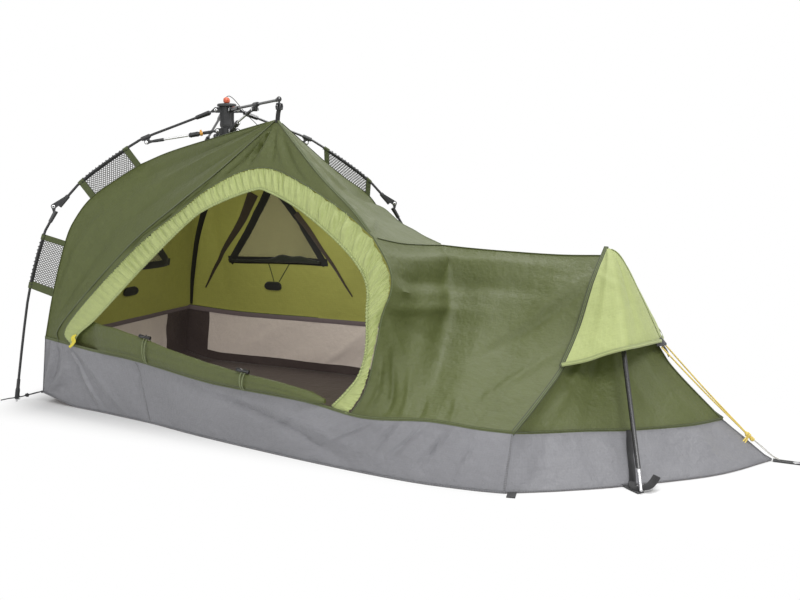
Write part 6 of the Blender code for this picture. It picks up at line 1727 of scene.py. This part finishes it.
def makeBoots():
    g = boots
    for leg in legs:
        line = smoothLine([(r, 0.0, z) for r, z in lines["legShin"]], 400)
        line = line[(line[:, 2] > g["from"]) & (line[:, 2] < g["to"])]
        path = [onArm(leg, p[0], p[2]) for p in line[::-1][::2]]
        size = [g["size"] * (0.86 + 0.14 * min(1.0, k / 2, (len(path) - 1 - k) / 2))
                for k in range(len(path))]
        addTubes("boot" + leg[-1], [tube(path, size, 16)], "blackPlastic", leg + "_lower",
                 fold=False)


makeBoots()


# Webbing at the foot: the peg's strap, side straps, peg loops, and the strap behind the near pole
straps = {"toe": (2.297, 0.0, 0.0), "hole": 0.064, "holeSize": 0.0055, "wide": 0.022, "thick": 0.0026}


def makeToeStrap():
    g = straps
    toe = np.array(g["toe"])
    route = smoothLine([toe + (0.004, 0, 0.0022), toe + (0.03, 0, 0.0016), toe + (0.078, 0, 0.0014)], 24)
    flat = tubeMesh("footStrap", [band(route, g["wide"], g["thick"], (0, 1, 0))])
    hole = tubeMesh("hole", [turned(((g["holeSize"], -0.01), (g["holeSize"], 0.02)),
                                    toe + (g["hole"], 0, 0))])
    addPiece("footStrap", cutBy("footStrap", flat, hole), "blackWebbing", "tent_body",
             ["foot_strap"])
    at = toe + (g["hole"], 0, 0.0016)
    ring = turned(((0.0055, -0.0005), (0.0092, -0.0005), (0.0095, 0.0014), (0.0078, 0.0022),
                   (0.0058, 0.0018)), at, (0, 0, 1), 28)
    addTubes("strapEyelet", [ring], "steel", fold=False)


def makeSideStraps():
    parts = []
    for side, toe in ((-1, lines["floorToe"]), (1, lines["floorToeFar"])):
        low = np.array(toe[2])
        parts.append(band(smoothLine([low + (-0.01, -side * 0.006, 0.0045),
                                      low + (0.01, side * 0.012, 0.0018), (2.011, side * 0.402, 0.0015)], 16),
                          0.02, 0.0026, (0.6, -0.6 * side, 0)))
        corner = np.array(toe[0]) * 0.84 + np.array(toe[1]) * 0.16
        loop = smoothLine([corner + (-0.004, -side * 0.012, 0.0034), corner + (0.0, side * 0.012, 0.0018),
                           corner + (0.004, side * 0.034, 0.0015)], 16)
        parts.append(band(loop, 0.022, 0.0026, (1, 0, 0)))
    addTubes("floorStraps", parts, "blackWebbing")


def makeNearStrap():
    # black webbing down the tub behind the near pole, out to a ring round the pole's foot
    line = smoothLine([(1.951, -0.241, 0.112), (1.958, -0.272, 0.08), (1.967, -0.303, 0.05),
                       (1.976, -0.333, 0.02), (1.981, -0.352, 0.004)], 30)
    spots, normals = cling("tubFootNear", line, 0.001)
    down = tape(spots, normals, 0.019, 0.0022)
    low = spots[-1]
    loop = tape(smoothLine([low + (0, 0, 0.004), (1.992, -0.385, 0.006), (2.022, -0.384, 0.012),
                            (2.034, -0.362, 0.02), (2.04, -0.345, 0.03)], 20), (0.25, -0.35, 1.0), 0.02,
                0.0022)
    addTubes("nearStrap", [down], "blackWebbing")
    addTubes("nearStrapLoop", [loop], "blackWebbing", "foot_frame", fold=False)


def makePeakStrap():
    # ring under the front arm's tip, and the strap from it to the peak
    r, z = 0.446, 0.9872
    half = 0.0075
    ring = [onArm("front", r + half * cos(a), z - 0.0016 - half + half * sin(a))
            for a in (2 * pi * k / 28 for k in range(28))]
    a = armAngle["front"]
    across = np.array((-sin(a), cos(a), 0.0))
    middle = onArm("front", r, z - 0.0016 - half)
    buckle = ((-1, 1), (-0.4, 1.12), (0.4, 1.12), (1, 1), (1.08, 0), (1, -1), (0, -1.05), (-1, -1),
              (-1.08, 0))
    frame = [middle + across * 0.0088 * u + np.array((0.0, 0.0, 0.0072)) * v for u, v in buckle]
    addTubes("peakRing", [tube(ring, 0.003, 10, loop=True), tube(frame, 0.0032, 10, loop=True)],
             "blackPlastic", replaced=["peak_strap"])
    peakR = hypot(lines["peak"][0] - hubX, lines["peak"][1])
    peakZ = lines["peak"][2]
    route = [onArm("front", r, z - 2 * half - 0.0006),
             onArm("front", (r + peakR) / 2, (z - 2 * half + peakZ) / 2),
             onArm("front", peakR + 0.003, peakZ - 0.01)]
    strap = band(smoothLine(route, 12), 0.0135, 0.0026, across)
    addTubes("peakStrap", [strap], "blackWebbing")


makeToeStrap()
makeSideStraps()
makeNearStrap()
makePeakStrap()
print("straps made")


# Stage: a pale floor that fades to white, and soft studio light
stage = {
    "floor": 0.93,
    "middle": 0.13,
    "halfLength": 1.06,
    "halfWidth": 0.36,
    "fadeFrom": 0.03,
    "fadeTo": 0.26,
    "ambient": 0.46,
}


def makeStage():
    mesh = bpy.data.meshes.new("floor")
    half = 8.0
    mesh.from_pydata([(-half, -half, -0.0005), (half, -half, -0.0005), (half, half, -0.0005),
                      (-half, half, -0.0005)], [], [(0, 1, 2, 3)])
    floor = bpy.data.objects.new("floor", mesh)
    bpy.context.collection.objects.link(floor)
    f = Finish("floorPaint", (stage["floor"],) * 3, 0.85)
    place = f.place()
    x, y = f.axis(place, 0), f.axis(place, 1)
    beyondX = (f.math("ABSOLUTE", x - stage["middle"], 0.0) - stage["halfLength"]).most(0.0)
    beyondY = (f.math("ABSOLUTE", y, 0.0) - stage["halfWidth"]).most(0.0)
    away = (beyondX ** 2 + beyondY ** 2) ** 0.5
    tone = f.noise(1.5, 3.0) * 0.02
    f.feed("Base Color", f.mix(tone, (stage["floor"],) * 3, (0.85, 0.85, 0.85)))
    camera, glossy, through = (f.node("LightPath", out=k) for k in (0, 3, 6))
    seen = camera.most(glossy).most(through)
    white = f.node("Emission", None, {"Color": (1.0, 1.0, 1.0, 1.0), "Strength": 1.0})
    both = f.node("MixShader", None, {0: away.ramp(stage["fadeFrom"], stage["fadeTo"]) * seen,
                                      1: Signal(f, f.shader.outputs[0]), 2: white})
    f.tree.links.new(both.socket, f.tree.nodes["Material Output"].inputs["Surface"])
    mesh.materials.append(f.material)

    world = bpy.data.worlds.new("studio")
    world.use_nodes = True
    nodes, links = world.node_tree.nodes, world.node_tree.links
    soft = nodes["Background"]
    soft.inputs["Color"].default_value = (1.0, 1.0, 1.0, 1.0)
    soft.inputs["Strength"].default_value = stage["ambient"]
    path, plain, choose = (nodes.new("ShaderNode" + kind)
                           for kind in ("LightPath", "Background", "MixShader"))
    plain.inputs["Color"].default_value = (1.0, 1.0, 1.0, 1.0)
    ray = path.outputs["Is Camera Ray"]
    for other in ("Is Glossy Ray", "Is Transmission Ray"):
        either = nodes.new("ShaderNodeMath")
        either.operation = "MAXIMUM"
        links.new(ray, either.inputs[0])
        links.new(path.outputs[other], either.inputs[1])
        ray = either.outputs[0]
    for k, source in enumerate((ray, soft.outputs[0], plain.outputs[0])):
        links.new(source, choose.inputs[k])
    links.new(choose.outputs[0], nodes["World Output"].inputs["Surface"])
    bpy.context.scene.world = world


lamps = {"keyLamp": {"place": (2.2, -2.2, 3.0), "aim": (0.1, 0.0, 0.3), "size": 1.5, "power": 62.0},
         "topLamp": {"place": (0.6, 1.0, 3.4), "aim": (0.0, 0.0, 0.3), "size": 1.8, "power": 58.0},
         "frontLamp": {"place": (-0.6, -3.6, 1.6), "aim": (0.0, 0.0, 0.3), "size": 2.4, "power": 20.0},
         "insideLamp": {"place": (-0.28, -0.06, 0.66), "aim": (-0.34, 0.0, 0.0), "size": 0.16, "power": 1.4,
                        "hidden": True}}


def makeLamps():
    for name, lamp in lamps.items():
        data = bpy.data.lights.new(name, "AREA")
        data.shape = "DISK"
        data.size = lamp["size"]
        data.energy = lamp["power"]
        thing = bpy.data.objects.new(name, data)
        thing.location = lamp["place"]
        aim = Vector(lamp["aim"]) - Vector(lamp["place"])
        thing.rotation_euler = aim.to_track_quat("-Z", "Y").to_euler()
        thing.visible_camera = not lamp.get("hidden", False)
        bpy.context.collection.objects.link(thing)


makeStage()
makeLamps()
bpy.context.scene.view_settings.view_transform = "Standard"
print("stage and lamps made")
